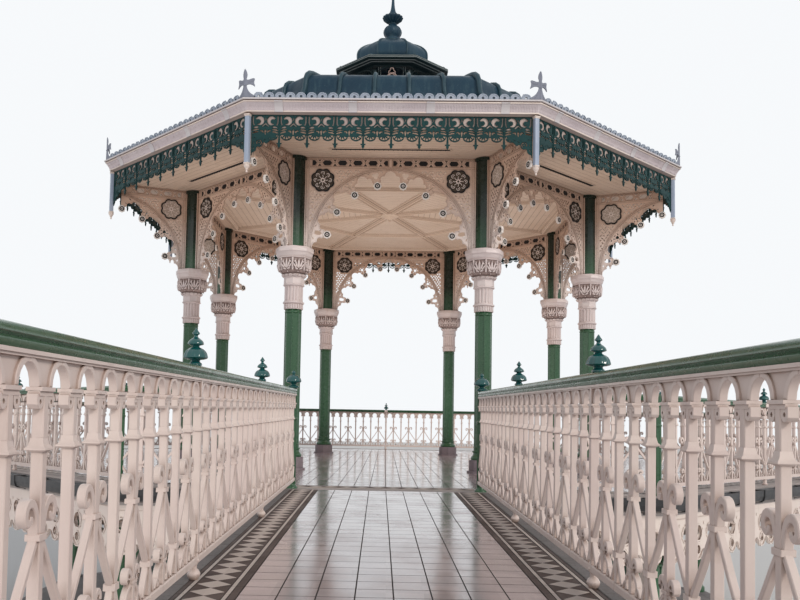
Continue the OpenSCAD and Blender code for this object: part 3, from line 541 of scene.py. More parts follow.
paints = {
    # colour, second colour, colour of grime and painted shade, roughness, coat, specular, bump, strength of painted
    # corner shade (0 also leaves out the grime)
    "creamIron": ((0.85, 0.73, 0.68), (0.8, 0.67, 0.63), (0.3, 0.2, 0.15), 0.45, 0.1, 0.4, 0.25, 0.75),
    # painted shade: the ground of the capital's bell, darker than the capital paint
    "capitalShadedGround": ((0.44, 0.34, 0.32), (0.37, 0.28, 0.26), (0.14, 0.09, 0.08), 0.5, 0.0, 0.3, 0.2, 0.9),
    "fretIron": ((0.93, 0.84, 0.8), (0.88, 0.77, 0.73), (0.2, 0.12, 0.08), 0.45, 0.1, 0.4, 0.25, 0.95),
    "rosettePaint": ((0.95, 0.9, 0.86), (0.92, 0.86, 0.82), (0.5, 0.38, 0.3), 0.4, 0.15, 0.45, 0.1, 0.3),
    "capitalPaint": ((0.82, 0.73, 0.72), (0.77, 0.67, 0.67), (0.34, 0.22, 0.19), 0.45, 0.1, 0.4, 0.3, 0.8),
    "rimCream": ((0.88, 0.78, 0.72), (0.84, 0.72, 0.67), (0.36, 0.24, 0.18), 0.4, 0.15, 0.45, 0.2, 0.7),
    "greenIron": ((0.036, 0.108, 0.052), (0.042, 0.12, 0.06), (0.012, 0.03, 0.02), 0.27, 0.3, 0.4, 0.02, 0.0),
    "tealIron": ((0.006, 0.08, 0.082), (0.008, 0.096, 0.096), (0.004, 0.025, 0.025), 0.18, 0.5, 0.4, 0.02, 0.0),
    "valanceIron": ((0.007, 0.036, 0.038), (0.01, 0.05, 0.052), (0.003, 0.01, 0.01), 0.45, 0.0, 0.2, 0.2, 0.4),
    "crestIron": ((0.42, 0.48, 0.58), (0.36, 0.42, 0.52), (0.16, 0.18, 0.22), 0.5, 0.05, 0.4, 0.2, 0.7),
    # painted shade: the crosses are the crest's iron in a darker copy
    "crossIronShade": ((0.24, 0.26, 0.33), (0.2, 0.22, 0.28), (0.1, 0.1, 0.12), 0.5, 0.05, 0.4, 0.2, 0.6),
    "corniceBoards": ((0.68, 0.65, 0.67), (0.62, 0.59, 0.62), (0.36, 0.26, 0.22), 0.48, 0.1, 0.4, 0.12, 0.7),
    "corniceShade": ((0.58, 0.48, 0.44), (0.52, 0.42, 0.4), (0.26, 0.18, 0.15), 0.5, 0.05, 0.4, 0.12, 0.7),
    # painted shade: the dark line under the cornice band
    "corniceGrooveShade": ((0.16, 0.11, 0.1), (0.12, 0.085, 0.08), (0.08, 0.05, 0.05), 0.6, 0.0, 0.3, 0.1, 0.3),
    "cymaPaint": ((0.7, 0.63, 0.66), (0.64, 0.57, 0.61), (0.3, 0.22, 0.2), 0.5, 0.05, 0.4, 0.12, 0.7),
    "ceilingBoards": ((0.86, 0.69, 0.56), (0.81, 0.64, 0.51), (0.3, 0.19, 0.13), 0.5, 0.05, 0.4, 0.15, 0.9),
    "dropPaint": ((0.38, 0.45, 0.57), (0.34, 0.41, 0.54), (0.36, 0.36, 0.42), 0.42, 0.15, 0.4, 0.12, 0.4),
    # near black; in the frieze backing and the ceiling vents this is painted shade
    "darkRecess": ((0.016, 0.016, 0.017), (0.028, 0.026, 0.026), (0.01, 0.01, 0.01), 0.6, 0.0, 0.2, 0.1, 0.0),
    "roundelGround": ((0.06, 0.042, 0.03), (0.085, 0.062, 0.045), (0.02, 0.015, 0.012), 0.5, 0.05, 0.3, 0.2, 0.3),
    "traceryGround": ((0.52, 0.42, 0.35), (0.46, 0.36, 0.3), (0.25, 0.18, 0.13), 0.5, 0.1, 0.4, 0.2, 0.6),
    "greenJoinery": ((0.02, 0.08, 0.058), (0.028, 0.105, 0.078), (0.01, 0.03, 0.022), 0.38, 0.15, 0.4, 0.12, 0.4),
    "blackGutter": ((0.022, 0.023, 0.026), (0.04, 0.04, 0.045), (0.012, 0.012, 0.012), 0.4, 0.15, 0.4, 0.2, 0.3),
    "lanternPaint": ((0.012, 0.026, 0.03), (0.02, 0.04, 0.045), (0.006, 0.01, 0.01), 0.45, 0.05, 0.25, 0.2, 0.3),
    "lanternLine": ((0.4, 0.44, 0.44), (0.32, 0.36, 0.36), (0.15, 0.16, 0.16), 0.45, 0.1, 0.4, 0.1, 0.3),
    "lanternRose": ((0.8, 0.6, 0.54), (0.72, 0.52, 0.46), (0.15, 0.08, 0.07), 0.45, 0.1, 0.4, 0.1, 0.3),
}


def makePaints():
    for name, (base, second, shadeAndGrime, rough, coat, specular, bump, shadeAndDirt) in paints.items():
        tree, shader = newFinish(name, rough, coat=coat, specular=specular)
        broad = spread(tree, noise(tree, 1.7, 4), 0.38, 0.62)
        colour = blend(tree, broad, base, second)
        if shadeAndDirt:
            # painted shade: darker where surfaces meet, read from ambient occlusion, mixed with random grime stains
            corner = tree.nodes.new("ShaderNodeAmbientOcclusion")
            corner.samples = 4
            corner.inputs["Distance"].default_value = 0.055
            paintedCornerShade = spread(tree, corner.outputs["AO"], 0.92, 0.35, 0.0, shadeAndDirt)
            stains = spread(tree, noise(tree, 7, 5, (1, 1, 0.35)), 0.58, 0.78, 0.0, 0.28)
            colour = blend(tree, calc(tree, "MAXIMUM", paintedCornerShade, stains), colour, shadeAndGrime)
        if name == "fretIron":
            # painted shade: the casting is darker and warmer towards the eaves, as in the shade under the roof
            colour = blend(tree, spread(tree, heightOf(tree), 6.9, 7.8), colour, (0.78, 0.63, 0.52), "MULTIPLY")
        tree.links.new(colour, shader.inputs["Base Color"])
        roughen(tree, shader, 11, 3, rough - 0.05, rough + 0.08)
        height = calc(tree, "ADD", noise(tree, 70, 3), calc(tree, "MULTIPLY", noise(tree, 12, 2), 1.2))
        addBump(tree, shader, height, bump, 0.0012)


tileSizes = {
    "pitch": 0.1915, "joint": 0.0075, "diamond": 0.18,
}


def tileFinish(name, pitch, offset, colours, rough, coat):
    # each tile has its own shade, read from its place in the grid
    tree, shader = newFinish(name, rough, coat=coat, specular=0.5 if coat else 0.25)
    cell = vectorStep(tree, "DIVIDE", vectorStep(tree, "ADD", ownPlace(tree), offset), (pitch, pitch, 10))
    white = tree.nodes.new("ShaderNodeTexWhiteNoise")
    white.noise_dimensions = "3D"
    tree.links.new(vectorStep(tree, "FLOOR", cell), white.inputs["Vector"])
    shade = blend(tree, white.outputs["Value"], colours[0], colours[1])
    speck = spread(tree, noise(tree, 260, 2), 0.56, 0.68, 0.0, 0.5)
    shade = blend(tree, speck, shade, colours[2])
    worn = spread(tree, noise(tree, 2.2, 5, rough=0.65), 0.45, 0.7, 0.0, 0.55)
    shade = blend(tree, worn, shade, colours[3])
    tree.links.new(shade, shader.inputs["Base Color"])
    roughen(tree, shader, 3.1, 4, rough - 0.08, rough + 0.1)
    addBump(tree, shader, calc(tree, "ADD", noise(tree, 90, 3), calc(tree, "MULTIPLY", white.outputs["Value"], 2.0)),
            0.25, 0.001)


def stoneFinish(name, base, second, fleck, scale, rough=0.75, bump=0.5):
    tree, shader = newFinish(name, rough, specular=0.35)
    broad = spread(tree, noise(tree, 2.4, 5), 0.36, 0.64)
    colour = blend(tree, broad, base, second)
    grains = spread(tree, noise(tree, scale, 4, rough=0.7), 0.52, 0.7, 0.0, 0.75)
    colour = blend(tree, grains, colour, fleck)
    tree.links.new(colour, shader.inputs["Base Color"])
    cells = tree.nodes.new("ShaderNodeTexVoronoi")
    cells.inputs["Scale"].default_value = scale * 0.6
    tree.links.new(coordinates(tree), cells.inputs["Vector"])
    addBump(tree, shader, calc(tree, "ADD", noise(tree, scale * 2, 4), cells.outputs["Distance"]), bump, 0.003)


roofTints = {
    # colour, second colour, runs, spots
    "roofSheet": ((0.007, 0.03, 0.056), (0.014, 0.05, 0.082), (0.04, 0.085, 0.11), (0.07, 0.12, 0.14)),
    "rollSheet": ((0.016, 0.048, 0.068), (0.034, 0.074, 0.098), (0.085, 0.135, 0.16), (0.12, 0.17, 0.19)),
}


def roofFinish(name, tints):
    # grey sheet that has weathered in long runs down the slope
    base, second, pale, spot = tints
    tree, shader = newFinish(name, 0.5, 0.1, specular=0.28)
    broad = spread(tree, noise(tree, 1.3, 5, (1, 1, 0.4)), 0.36, 0.64)
    colour = blend(tree, broad, base, second)
    runs = spread(tree, noise(tree, 16, 4, (1, 1, 0.08)), 0.52, 0.72, 0.0, 0.55)
    colour = blend(tree, runs, colour, pale)
    spots = spread(tree, noise(tree, 55, 3), 0.6, 0.7, 0.0, 0.4)
    colour = blend(tree, spots, colour, spot)
    tree.links.new(colour, shader.inputs["Base Color"])
    roughen(tree, shader, 5, 3, 0.34, 0.56)
    addBump(tree, shader, calc(tree, "ADD", noise(tree, 3.2, 3), noise(tree, 40, 3)), 0.4, 0.004)


def otherFinishes():
    tree, shader = newFinish("paleFloor", 0.85, specular=0.2)
    shader.inputs["Base Color"].default_value = (0.8, 0.8, 0.8, 1)
    tree, shader = newFinish("windowGlass", 0.06, specular=0.6)
    shader.inputs["Transmission Weight"].default_value = 0.75
    shader.inputs["IOR"].default_value = 1.45
    tree.links.new(blend(tree, spread(tree, noise(tree, 2.5, 3), 0.4, 0.6), (0.62, 0.7, 0.72), (0.5, 0.58, 0.6)),
                   shader.inputs["Base Color"])
    addBump(tree, shader, noise(tree, 3, 2), 0.12, 0.004)
    pitch = tileSizes["pitch"]
    tileFinish("buffTiles", pitch, (4 * pitch, 0, 0), ((0.41, 0.34, 0.35), (0.49, 0.405, 0.415), (0.3, 0.24, 0.25),
                                                      (0.37, 0.31, 0.335)), 0.17, 0.5)
    tileFinish("brownTiles", 0.18, (0, 0, 0), ((0.05, 0.032, 0.028), (0.075, 0.048, 0.042), (0.035, 0.024, 0.02),
                                                (0.1, 0.075, 0.068)), 0.55, 0.0)
    tileFinish("paleTiles", 0.18, (0, 0, 0), ((0.55, 0.48, 0.44), (0.62, 0.54, 0.5), (0.42, 0.36, 0.33),
                                               (0.46, 0.4, 0.38)), 0.5, 0.0)
    stoneFinish("grout", (0.03, 0.022, 0.021), (0.05, 0.038, 0.035), (0.02, 0.015, 0.014), 60, 0.9)
    stoneFinish("kerbStone", (0.2, 0.185, 0.185), (0.15, 0.14, 0.14), (0.09, 0.085, 0.085), 45)
    stoneFinish("copingStone", (0.5, 0.45, 0.44), (0.42, 0.38, 0.37), (0.3, 0.27, 0.27), 45)
    stoneFinish("plinthStone", (0.3, 0.28, 0.28), (0.23, 0.215, 0.22), (0.16, 0.15, 0.15), 35)
    stoneFinish("columnStone", (0.25, 0.205, 0.23), (0.31, 0.26, 0.28), (0.13, 0.105, 0.12), 70, 0.6)
    stoneFinish("paintedRender", (0.7, 0.62, 0.57), (0.62, 0.54, 0.5), (0.45, 0.38, 0.34), 90, 0.7, 0.4)


def shaftFinish():
    # gloss green, with painted shade that darkens it almost to black towards the eaves
    base, second = paints["greenIron"][:2]
    tree, shader = newFinish("shaftPaint", 0.28, coat=0.15, specular=0.35)
    colour = blend(tree, spread(tree, noise(tree, 1.7, 4), 0.38, 0.62), base, second)
    # painted shade under the eaves, rising from 6.65 to 7.35 m
    colour = blend(tree, spread(tree, heightOf(tree), 6.65, 7.35, 0.0, 0.92), colour, (0.006, 0.01, 0.008))
    tree.links.new(colour, shader.inputs["Base Color"])
    roughen(tree, shader, 11, 3, 0.25, 0.31)
    addBump(tree, shader, noise(tree, 3, 2), 0.03, 0.0012)


nodeFinish = {
    "base_plinth": "plinthStone", "lower_wall": "paintedRender", "lower_frames": "greenJoinery",
    "lower_glass": "windowGlass", "verandah_posts": "greenIron", "deck_beams": "paintedRender",
    "deck_slab": "paintedRender", "deck_coping": "copingStone", "deck_gutter": "blackGutter",
    "deck_fringe": "rimCream", "bridge_deck": "grout", "bridge_girders": "creamIron",
    "bridge_pier": "plinthStone", "bridge_balustrades": "creamIron", "deck_balustrade_left": "creamIron",
    "deck_balustrade_right": "creamIron", "deck_balustrade_back": "creamIron", "bridge_newels": "greenIron",
    "rail_finials": "tealIron", "deck_newels": "greenIron", "handrails": "greenIron",
    "column_blocks": "columnStone", "columns": "shaftPaint", "capitals": "capitalPaint",
    "eave_brackets": "creamIron", "ceiling": "ceilingBoards", "ceiling_ribs": "ceilingBoards",
    "cornice": "corniceBoards", "valance": "valanceIron", "drop_posts": "dropPaint", "crest": "crestIron",
    "corner_crosses": "crestIron", "dome": "roofSheet", "dome_rolls": "roofSheet", "lantern": "lanternPaint",
    "lantern_roof": "roofSheet", "finial": "roofSheet",
}


def finishNodes():
    for i in range(1, 9):
        nodeFinish[f"arch_{i}"] = "creamIron"
    for name, obj in nodes.items():
        obj.data.materials.clear()
        obj.data.materials.append(finishes[nodeFinish[name]])


# ---- floors

bridgeFloor = {
    "length": 10.47, "rise": 0.003,
    # strips from the middle outwards: name, from, to
    "strips": (("buffTiles", 0.0, 0.765), ("brownTiles", 0.769, 0.808), ("paleTiles", 0.811, 0.834),
               ("brownTiles", 0.837, 1.027), ("paleTiles", 1.03, 1.052), ("brownTiles", 1.055, 1.078)),
}


def tileField(width, length, pitch):
    # a grid of square faces, which raiseTiles makes into tiles
    nx, ny = round(width / pitch), round(length / pitch)
    bm = bmesh.new()
    bmesh.ops.create_grid(bm, x_segments=nx, y_segments=ny, size=0.5)
    bmesh.ops.scale(bm, vec=(nx * pitch, ny * pitch, 1), verts=bm.verts)
    return bm


def raiseTiles(bm, joint, rise):
    faces = list(bm.faces)
    joints = bmesh.ops.inset_individual(bm, faces=faces, thickness=joint / 2, use_even_offset=True)["faces"]
    for f in joints:
        f.material_index = 1
    tops = [f for f in faces if f.is_valid]
    bmesh.ops.translate(bm, vec=(0, 0, rise), verts=list({v for f in tops for v in f.verts}))


def bridgeTiling():
    pitch, rise = tileSizes["pitch"], bridgeFloor["rise"]
    length = bridgeFloor["length"]
    groups = {"buffTiles": bmesh.new(), "brownTiles": bmesh.new(), "paleTiles": bmesh.new()}
    start = 0.14
    field = tileField(8 * pitch, length - start, pitch)
    bmesh.ops.translate(field, vec=(0, -start - round((length - start) / pitch) * pitch / 2, 0), verts=field.verts)
    bmesh.ops.bisect_plane(field, geom=field.verts[:] + field.edges[:] + field.faces[:],
        plane_co=(0, -length + 0.002, 0), plane_no=(0, -1, 0), clear_outer=True)
    raiseTiles(field, tileSizes["joint"], rise)
    addMesh(groups["buffTiles"], meshFrom(field), onBridge)
    for name, near, far in bridgeFloor["strips"][1:]:
        wide = name == "brownTiles" and far - near > 0.1
        count = int((length - start) / tileSizes["diamond"])
        for side in (-1, 1):
            strip = tileField(1, 1, 1)
            bmesh.ops.scale(strip, vec=(far - near, length - start, 1), verts=strip.verts)
            bmesh.ops.translate(strip, vec=(side * (near + far) / 2, -(length + start) / 2, 0), verts=strip.verts)
            for i in range(1, int((length - start) / pitch) + 1):
                bmesh.ops.bisect_plane(strip, geom=strip.verts[:] + strip.edges[:] + strip.faces[:],
                                       plane_co=(0, -start - i * pitch, 0), plane_no=(0, 1, 0))
            raiseTiles(strip, 0.002, rise)
            addMesh(groups[name], meshFrom(strip), onBridge)
            if wide:
                diamonds = bmesh.new()
                for i in range(count):
                    made = bmesh.ops.create_circle(diamonds, cap_ends=True, segments=4, radius=0.087)["verts"]
                    bmesh.ops.translate(diamonds, vec=(side * (near + far) / 2,
                        -start - (i + 0.5) * tileSizes["diamond"], rise + 0.0005), verts=made)
                bmesh.ops.inset_individual(diamonds, faces=diamonds.faces[:], thickness=0.0015)
                tops = [f for f in diamonds.faces if len(f.verts) == 4 and f.calc_area() > 0.005]
                bmesh.ops.translate(diamonds, vec=(0, 0, 0.0012), verts=list({v for f in tops for v in f.verts}))
                addMesh(groups["paleTiles"], meshFrom(diamonds), onBridge)
    for name, bm in groups.items():
        bmesh.ops.recalc_face_normals(bm, faces=bm.faces)
        up = sum(f.normal.z * f.calc_area() for f in bm.faces)
        if up < 0:
            bmesh.ops.reverse_faces(bm, faces=bm.faces)
        piece("bridge_" + name, bm, name, smooth=0).data.materials.append(finishes["grout"])


def bridgeKerbs():
    # stone slabs under the balustrades, with open joints
    bm = bmesh.new()
    inner, outer, long = 1.084, 1.246, 0.43
    start, joint, length = 0.135, 0.01, bridgeFloor["length"]
    count = round((length - start) / long)
    step = (length - start) / count
    for s in (-1, 1):
        for i in range(count):
            addBar(bm, (outer - inner, step - joint, 0.026), (s * (inner + outer) / 2, -start - (i + 0.5) * step,
                -0.008), onBridge, 0.004)
        for i in range(count):
            addBar(bm, (0.006, step - joint, 0.112), (s * (outer - 0.002), -start - (i + 0.5) * step, -0.068),
                onBridge, 0.002)
    piece("bridgeKerbs", bm, "kerbStone", smooth=0)


def cutToOctagon(bm, apothem):
    for k in range(8):
        a = math.radians(45 * k)
        normal = Vector((math.cos(a), math.sin(a), 0))
        bmesh.ops.bisect_plane(bm, geom=bm.verts[:] + bm.edges[:] + bm.faces[:], plane_co=normal * apothem,
                               plane_no=normal, clear_outer=True)


deckFloor = {
    "fieldA": 7.0, "strips": (("brownTiles", 7.004, 7.045), ("paleTiles", 7.049, 7.075), ("brownTiles", 7.079, 7.26),
                              ("paleTiles", 7.264, 7.29)),
}


def deckTiling():
    pitch = tileSizes["pitch"]
    count = 2 * math.ceil(deckFloor["fieldA"] / pitch)
    bm = tileField(count * pitch, count * pitch, pitch)
    cutToOctagon(bm, deckFloor["fieldA"])
    raiseTiles(bm, tileSizes["joint"], 0.003)
    bmesh.ops.translate(bm, vec=(0, 0, site["deck"]), verts=bm.verts)
    piece("deck_field", bm, "buffTiles", smooth=0).data.materials.append(finishes["grout"])
    for i, (name, near, far) in enumerate(deckFloor["strips"]):
        z = site["deck"]
        band = mitred([(near, z - 0.002), (near + 0.001, z + 0.003), (far - 0.001, z + 0.003), (far, z - 0.002)])
        piece(f"deck_strip_{i + 1}", band, name, smooth=0)
    diamonds = bmesh.new()
    near, far = deckFloor["strips"][2][1:]
    middle, side = (near + far) / 2, 2 * near * halfSide
    steps = int(side / tileSizes["diamond"])
    for k in range(8):
        for i in range(steps):
            made = bmesh.ops.create_circle(diamonds, cap_ends=True, segments=4, radius=0.085)["verts"]
            bmesh.ops.transform(diamonds, verts=made, matrix=onSide(k) @ move(
                (i + 0.5 - steps / 2) * side / steps, middle, site["deck"] + 0.0045))
    piece("deck_diamonds", diamonds, "paleTiles", smooth=0)


# ---- balustrades

rail = {
    "pitch": 0.23455, "bar": 0.036, "deep": 0.036, "top": 1.08, "foot": 0.085, "footRail": 0.042,
    "crown": 0.98, "archR": 0.068, "ring": 0.021, "collar": 0.812, "knot": 0.55, "low": 0.262,
}


def collarMesh(width, depth, z, high, out):
    # a moulding on all four sides of a bar: it slopes out downwards to a thin lip
    bm = bmesh.new()
    layers = ((0, z + high * 0.6), (out * 0.22, z + high * 0.12), (out * 0.6, z - high * 0.1), (out, z - high * 0.2),
              (out, z - high * 0.33), (0, z - high / 2))
    loops = []
    for grow, level in layers:
        made = bmesh.ops.create_circle(bm, cap_ends=False, segments=4, radius=math.sqrt(0.5))["verts"]
        bmesh.ops.rotate(bm, cent=(0, 0, 0), matrix=Matrix.Rotation(math.radians(45), 3, "Z"), verts=made)
        bmesh.ops.scale(bm, vec=(width + 2 * grow, depth + 2 * grow, 1), verts=made)
        bmesh.ops.translate(bm, vec=(0, 0, level), verts=made)
        loops.append(list({e for v in made for e in v.link_edges}))
    for lower, upper in zip(loops, loops[1:]):
        bmesh.ops.bridge_loops(bm, edges=lower + upper)
    bmesh.ops.recalc_face_normals(bm, faces=bm.faces)
    return meshFrom(bm)


def headMesh(rich):
    # over one bay: the round-headed opening, its ring, the ledge, and the pendant lobes beside the bar
    p, bar = rail["pitch"], rail["bar"]
    top, crown, r = rail["top"], rail["crown"], rail["archR"]
    bm = bmesh.new()
    count = 10 if rich else 6
    lobe = 0.021
    half = p / 2
    body = ([(-half, top), (-half, crown), (-r, crown)] + arc(0, crown, r, 180, 0, count)[1:-1]
            + [(r, crown), (half, crown), (half, top)])
    addMesh(bm, plate([body], 0.012))
    for s in (-1, 1):
        end = 0 if s > 0 else 180
        band = (arc(0, crown, r + rail["ring"], 90, end, count // 2)
                + arc(0, crown, r - 0.001, end, 90, count // 2))
        addMesh(bm, plate([band], rail["deep"] - 0.006, 0.003 if rich else 0))
    pier = half - r
    for s in (-1, 1):
        x0, x1 = s * r, s * half
        addBar(bm, (pier, rail["deep"] + 0.012, 0.012), ((x0 + x1) / 2, 0, crown - 0.006))
        addBar(bm, (pier, rail["deep"], 0.016), ((x0 + x1) / 2, 0, crown - 0.018))
        cx = s * (half - bar / 2 - lobe)
        drop = arc(cx, crown - 0.042, lobe, 180, 360, 6 if rich else 4)
        drop += [(cx + lobe, crown - 0.02), (cx - lobe, crown - 0.02)]
        eye = [ring(cx, crown - 0.042, 0.0075, 6)] if rich else []
        addMesh(bm, plate([drop] + eye, rail["deep"] - 0.004))
    addBar(bm, (p, rail["deep"] + 0.014, 0.012), (0, 0, top - 0.006))
    addBar(bm, (p, rail["deep"] + 0.002, 0.01), (0, 0, top - 0.015))
    return meshFrom(bm)


def horn(scale, rich):
    # a flat band that climbs from the clasp, turns out and curls under to an open eye
    line = [(0.004, -0.005), (0.01, 0.035), (0.022, 0.068), (0.044, 0.088), (0.07, 0.088), (0.086, 0.071),
            (0.086, 0.048), (0.072, 0.034), (0.056, 0.04), (0.052, 0.054)]
    wide = [0.8, 0.9, 1.0, 1.05, 1.05, 1.0, 0.95, 0.9, 0.8, 0.6]
    pts = smoothLine([(x * scale, z * scale) for x, z in line], 3 if rich else 1)
    taper = smoothLine([(w, 0) for w in wide], 3 if rich else 1)
    return stroke(pts, 0.026 * (0.6 + 0.4 * scale), [t[0] for t in taper])


def footMesh(rich):
    # two bays wide: a bar with its horns, the spread foot and the small curls, centred on the horned bar
    p, bar, deep = rail["pitch"], rail["bar"], rail["deep"]
    knot, low = rail["knot"], rail["low"]
    base = rail["foot"] + rail["footRail"]
    bevel = 0.003 if rich else 0.0
    bm = bmesh.new()
    for x in (0, p):
        addBar(bm, (bar, deep, rail["crown"] - 0.02 - base), (x, 0, (rail["crown"] - 0.02 + base) / 2),
               bevel=0.004 if rich else 0)
        addMesh(bm, collarMesh(bar, deep, rail["collar"], 0.038, 0.013), move(x))
    for x, z, h, grow in ((0, knot, 0.022, 0.012), (p, low, 0.03, 0.01), (0, low - 0.028, 0.016, 0.012)):
        addBar(bm, (bar + 2 * grow, deep + 0.01, h), (x, 0, z), bevel=0.003 if rich else 0)
    big = horn(1.0, rich)
    small = horn(0.72, rich)
    for s in (-1, 1):
        for outline, z, thick in ((big, knot + 0.012, deep - 0.006), (small, low - 0.045, deep - 0.006)):
            pts = [(x + bar / 2 - 0.004, y + z) for x, y in outline]
            addMesh(bm, plate([pts if s > 0 else flipped(pts)], thick, bevel))
        strands = (
            ([(0.014, knot - 0.002), (0.05, knot - 0.05), (p * 0.52, knot - 0.155), (p - 0.018, low + 0.012)],
             0.021),
            ([(p - 0.014, low - 0.012), (p - 0.038, low - 0.055), (p - 0.082, base + 0.004)], 0.022),
            ([(0.012, low - 0.036), (0.045, low - 0.052), (0.078, low - 0.082), (0.08, base + 0.002)], 0.02),
            ([(p - 0.104, base + 0.002), (p - 0.13, base + 0.03), (0.08, base + 0.032), (0.062, base + 0.004)],
             0.014),
        )
        for line, width in strands:
            pts = stroke(smoothLine(line, 3 if rich else 1), width)
            addMesh(bm, plate([pts if s > 0 else flipped(pts)], deep - 0.01, bevel))
    addBar(bm, (2 * p, deep + 0.006, rail["footRail"]), (0, 0, rail["foot"] + rail["footRail"] / 2),
           bevel=0.006 if rich else 0)
    return meshFrom(bm)


def jointPost(bm, place):
    bar = rail["bar"]
    addBar(bm, (bar + 0.006, rail["deep"] + 0.01, 0.93), (0, 0, rail["top"] - 0.465), place, 0.004)
    addTurned(bm, [(0, 0.0), (0.022, 0.004), (0.034, 0.022), (0.036, 0.036), (0.028, 0.052), (0.017, 0.062),
                   (0.016, 0.078), (0.024, 0.094), (0.03, 0.106), (0.022, 0.118), (0.019, 0.145), (0, 0.146)],
              16, place)


def balustradeRun(bm, place, start, end, inward, rich, joints=()):
    # bars at an even pitch from start to end along x, horned bars at every second one
    count = 2 * max(1, round((end - start) / rail["pitch"] / 2))
    pitch = (end - start) / count
    stretch = scaled(pitch / rail["pitch"])
    foot, head = railMeshes[rich]
    for i in range(count // 2):
        addMesh(bm, foot, place @ move(start + (2 * i + 1) * pitch, inward) @ stretch)
    for i in range(count):
        addMesh(bm, head, place @ move(start + (i + 0.5) * pitch, inward) @ stretch)
    for x in joints:
        jointPost(bm, place @ move(x, inward))


railMeshes = {}


def makeBalustrades():
    for rich in (True, False):
        railMeshes[rich] = footMesh(rich), headMesh(rich)
    length = site["panel"] * site["panels"]
    half = site["bridgeHalf"]
    bm = bmesh.new()
    for s in (-1, 1):
        place = onBridge @ move(s * half) @ spinZ(-90)
        joints = [site["panel"] * i for i in range(1, site["panels"])]
        balustradeRun(bm, place, 0.0, length, -s * 0.02, True, joints)
    piece("bridgeRailing", bm, "creamIron", ["bridge_balustrades"])
    side = 2 * site["deckA"] * halfSide
    for name, sides, front in (("Left", (3, 4, 5), -1), ("Right", (0, 1, 7), 1), ("Back", (2,), 0)):
        bm = bmesh.new()
        for k in sides:
            place = atDeckSide(k)
            balustradeRun(bm, place, -side / 2, 0, 0, False)
            balustradeRun(bm, place, 0, side / 2, 0, False)
        if front:
            place = move(0, -site["deckA"], site["deck"])
            a, b = sorted((front * half, front * side / 2))
            balustradeRun(bm, place, a, b, 0, False)
        piece("deckRailing" + name, bm, "creamIron", ["deck_balustrade_" + name.lower()])


handrail = {
    "profile": [(-0.04, 1.08), (-0.046, 1.092), (-0.046, 1.102), (-0.038, 1.11), (-0.05, 1.12), (-0.05, 1.13),
                (-0.042, 1.142), (-0.022, 1.149), (0, 1.15)],
}


def makeHandrails():
    half = handrail["profile"]
    profile = half + [(-y, z) for y, z in reversed(half[:-1])]
    n = site["newelR"]
    bm = bmesh.new()
    length = site["panel"] * site["panels"]
    side = 2 * site["deckA"] * halfSide

    def lay(start, end, place):
        run = sweep(profile, end - start - 0.003)
        addMesh(bm, meshFrom(run), place @ move(start))

    for s in (-1, 1):
        place = onBridge @ move(s * site["bridgeHalf"]) @ spinZ(-90)
        stops = [n] + [site["panel"] * i for i in range(1, site["panels"])] + [length - n]
        for a, b in zip(stops, stops[1:]):
            lay(a, b, place)
    for k in range(8):
        if k != 6:
            place = atDeckSide(k)
            lay(-side / 2 + n, -n, place)
            lay(n, side / 2 - n, place)
    for a in (-side / 2 + n, site["bridgeHalf"] + n):
        lay(a, a + side / 2 - site["bridgeHalf"] - 2 * n, move(0, -site["deckA"], site["deck"]))
    piece("handrailRolls", bm, "greenIron", ["handrails"], smooth=40)


def fluted(bm, profile, ribs, depth, zLow, zHigh, steps, place):
    # a turned bulb whose surface is pressed into petals between two heights
    made = addTurned(bm, profile, steps)
    for v in made:
        r = math.hypot(v.co.x, v.co.y)
        if r > 0.001 and zLow < v.co.z < zHigh:
            t = math.sin(math.pi * (v.co.z - zLow) / (zHigh - zLow))
            a = math.atan2(v.co.y, v.co.x)
            k = 1 - depth * t * (1 - abs(math.cos(ribs * a / 2)))
            v.co.x *= k
            v.co.y *= k
    bmesh.ops.transform(bm, matrix=place, verts=made)


railBulb = [(0, 0), (0.034, 0), (0.036, 0.006), (0.033, 0.014), (0.026, 0.018), (0.023, 0.026), (0.027, 0.031),
            (0.048, 0.034), (0.061, 0.038), (0.067, 0.043), (0.067, 0.048), (0.065, 0.056), (0.061, 0.068),
            (0.053, 0.08), (0.042, 0.089), (0.03, 0.095), (0.022, 0.099), (0.019, 0.105), (0.023, 0.109),
            (0.036, 0.112), (0.043, 0.116), (0.043, 0.121), (0.038, 0.132), (0.029, 0.141), (0.019, 0.148),
            (0.012, 0.154), (0.01, 0.162), (0.013, 0.167), (0.02, 0.171), (0.02, 0.177), (0.013, 0.186),
            (0.006, 0.198), (0, 0.205)]


def makeRailFinials():
    bm = bmesh.new()
    for s in (-1, 1):
        for i in range(1, site["panels"]):
            fluted(bm, railBulb, 12, 0.1, 0.036, 0.096, 48,
                   onBridge @ move(s * site["bridgeHalf"], -i * site["panel"], site["railZ"] - 0.001))
    piece("railBulbs", bm, "tealIron", ["rail_finials"], smooth=50)


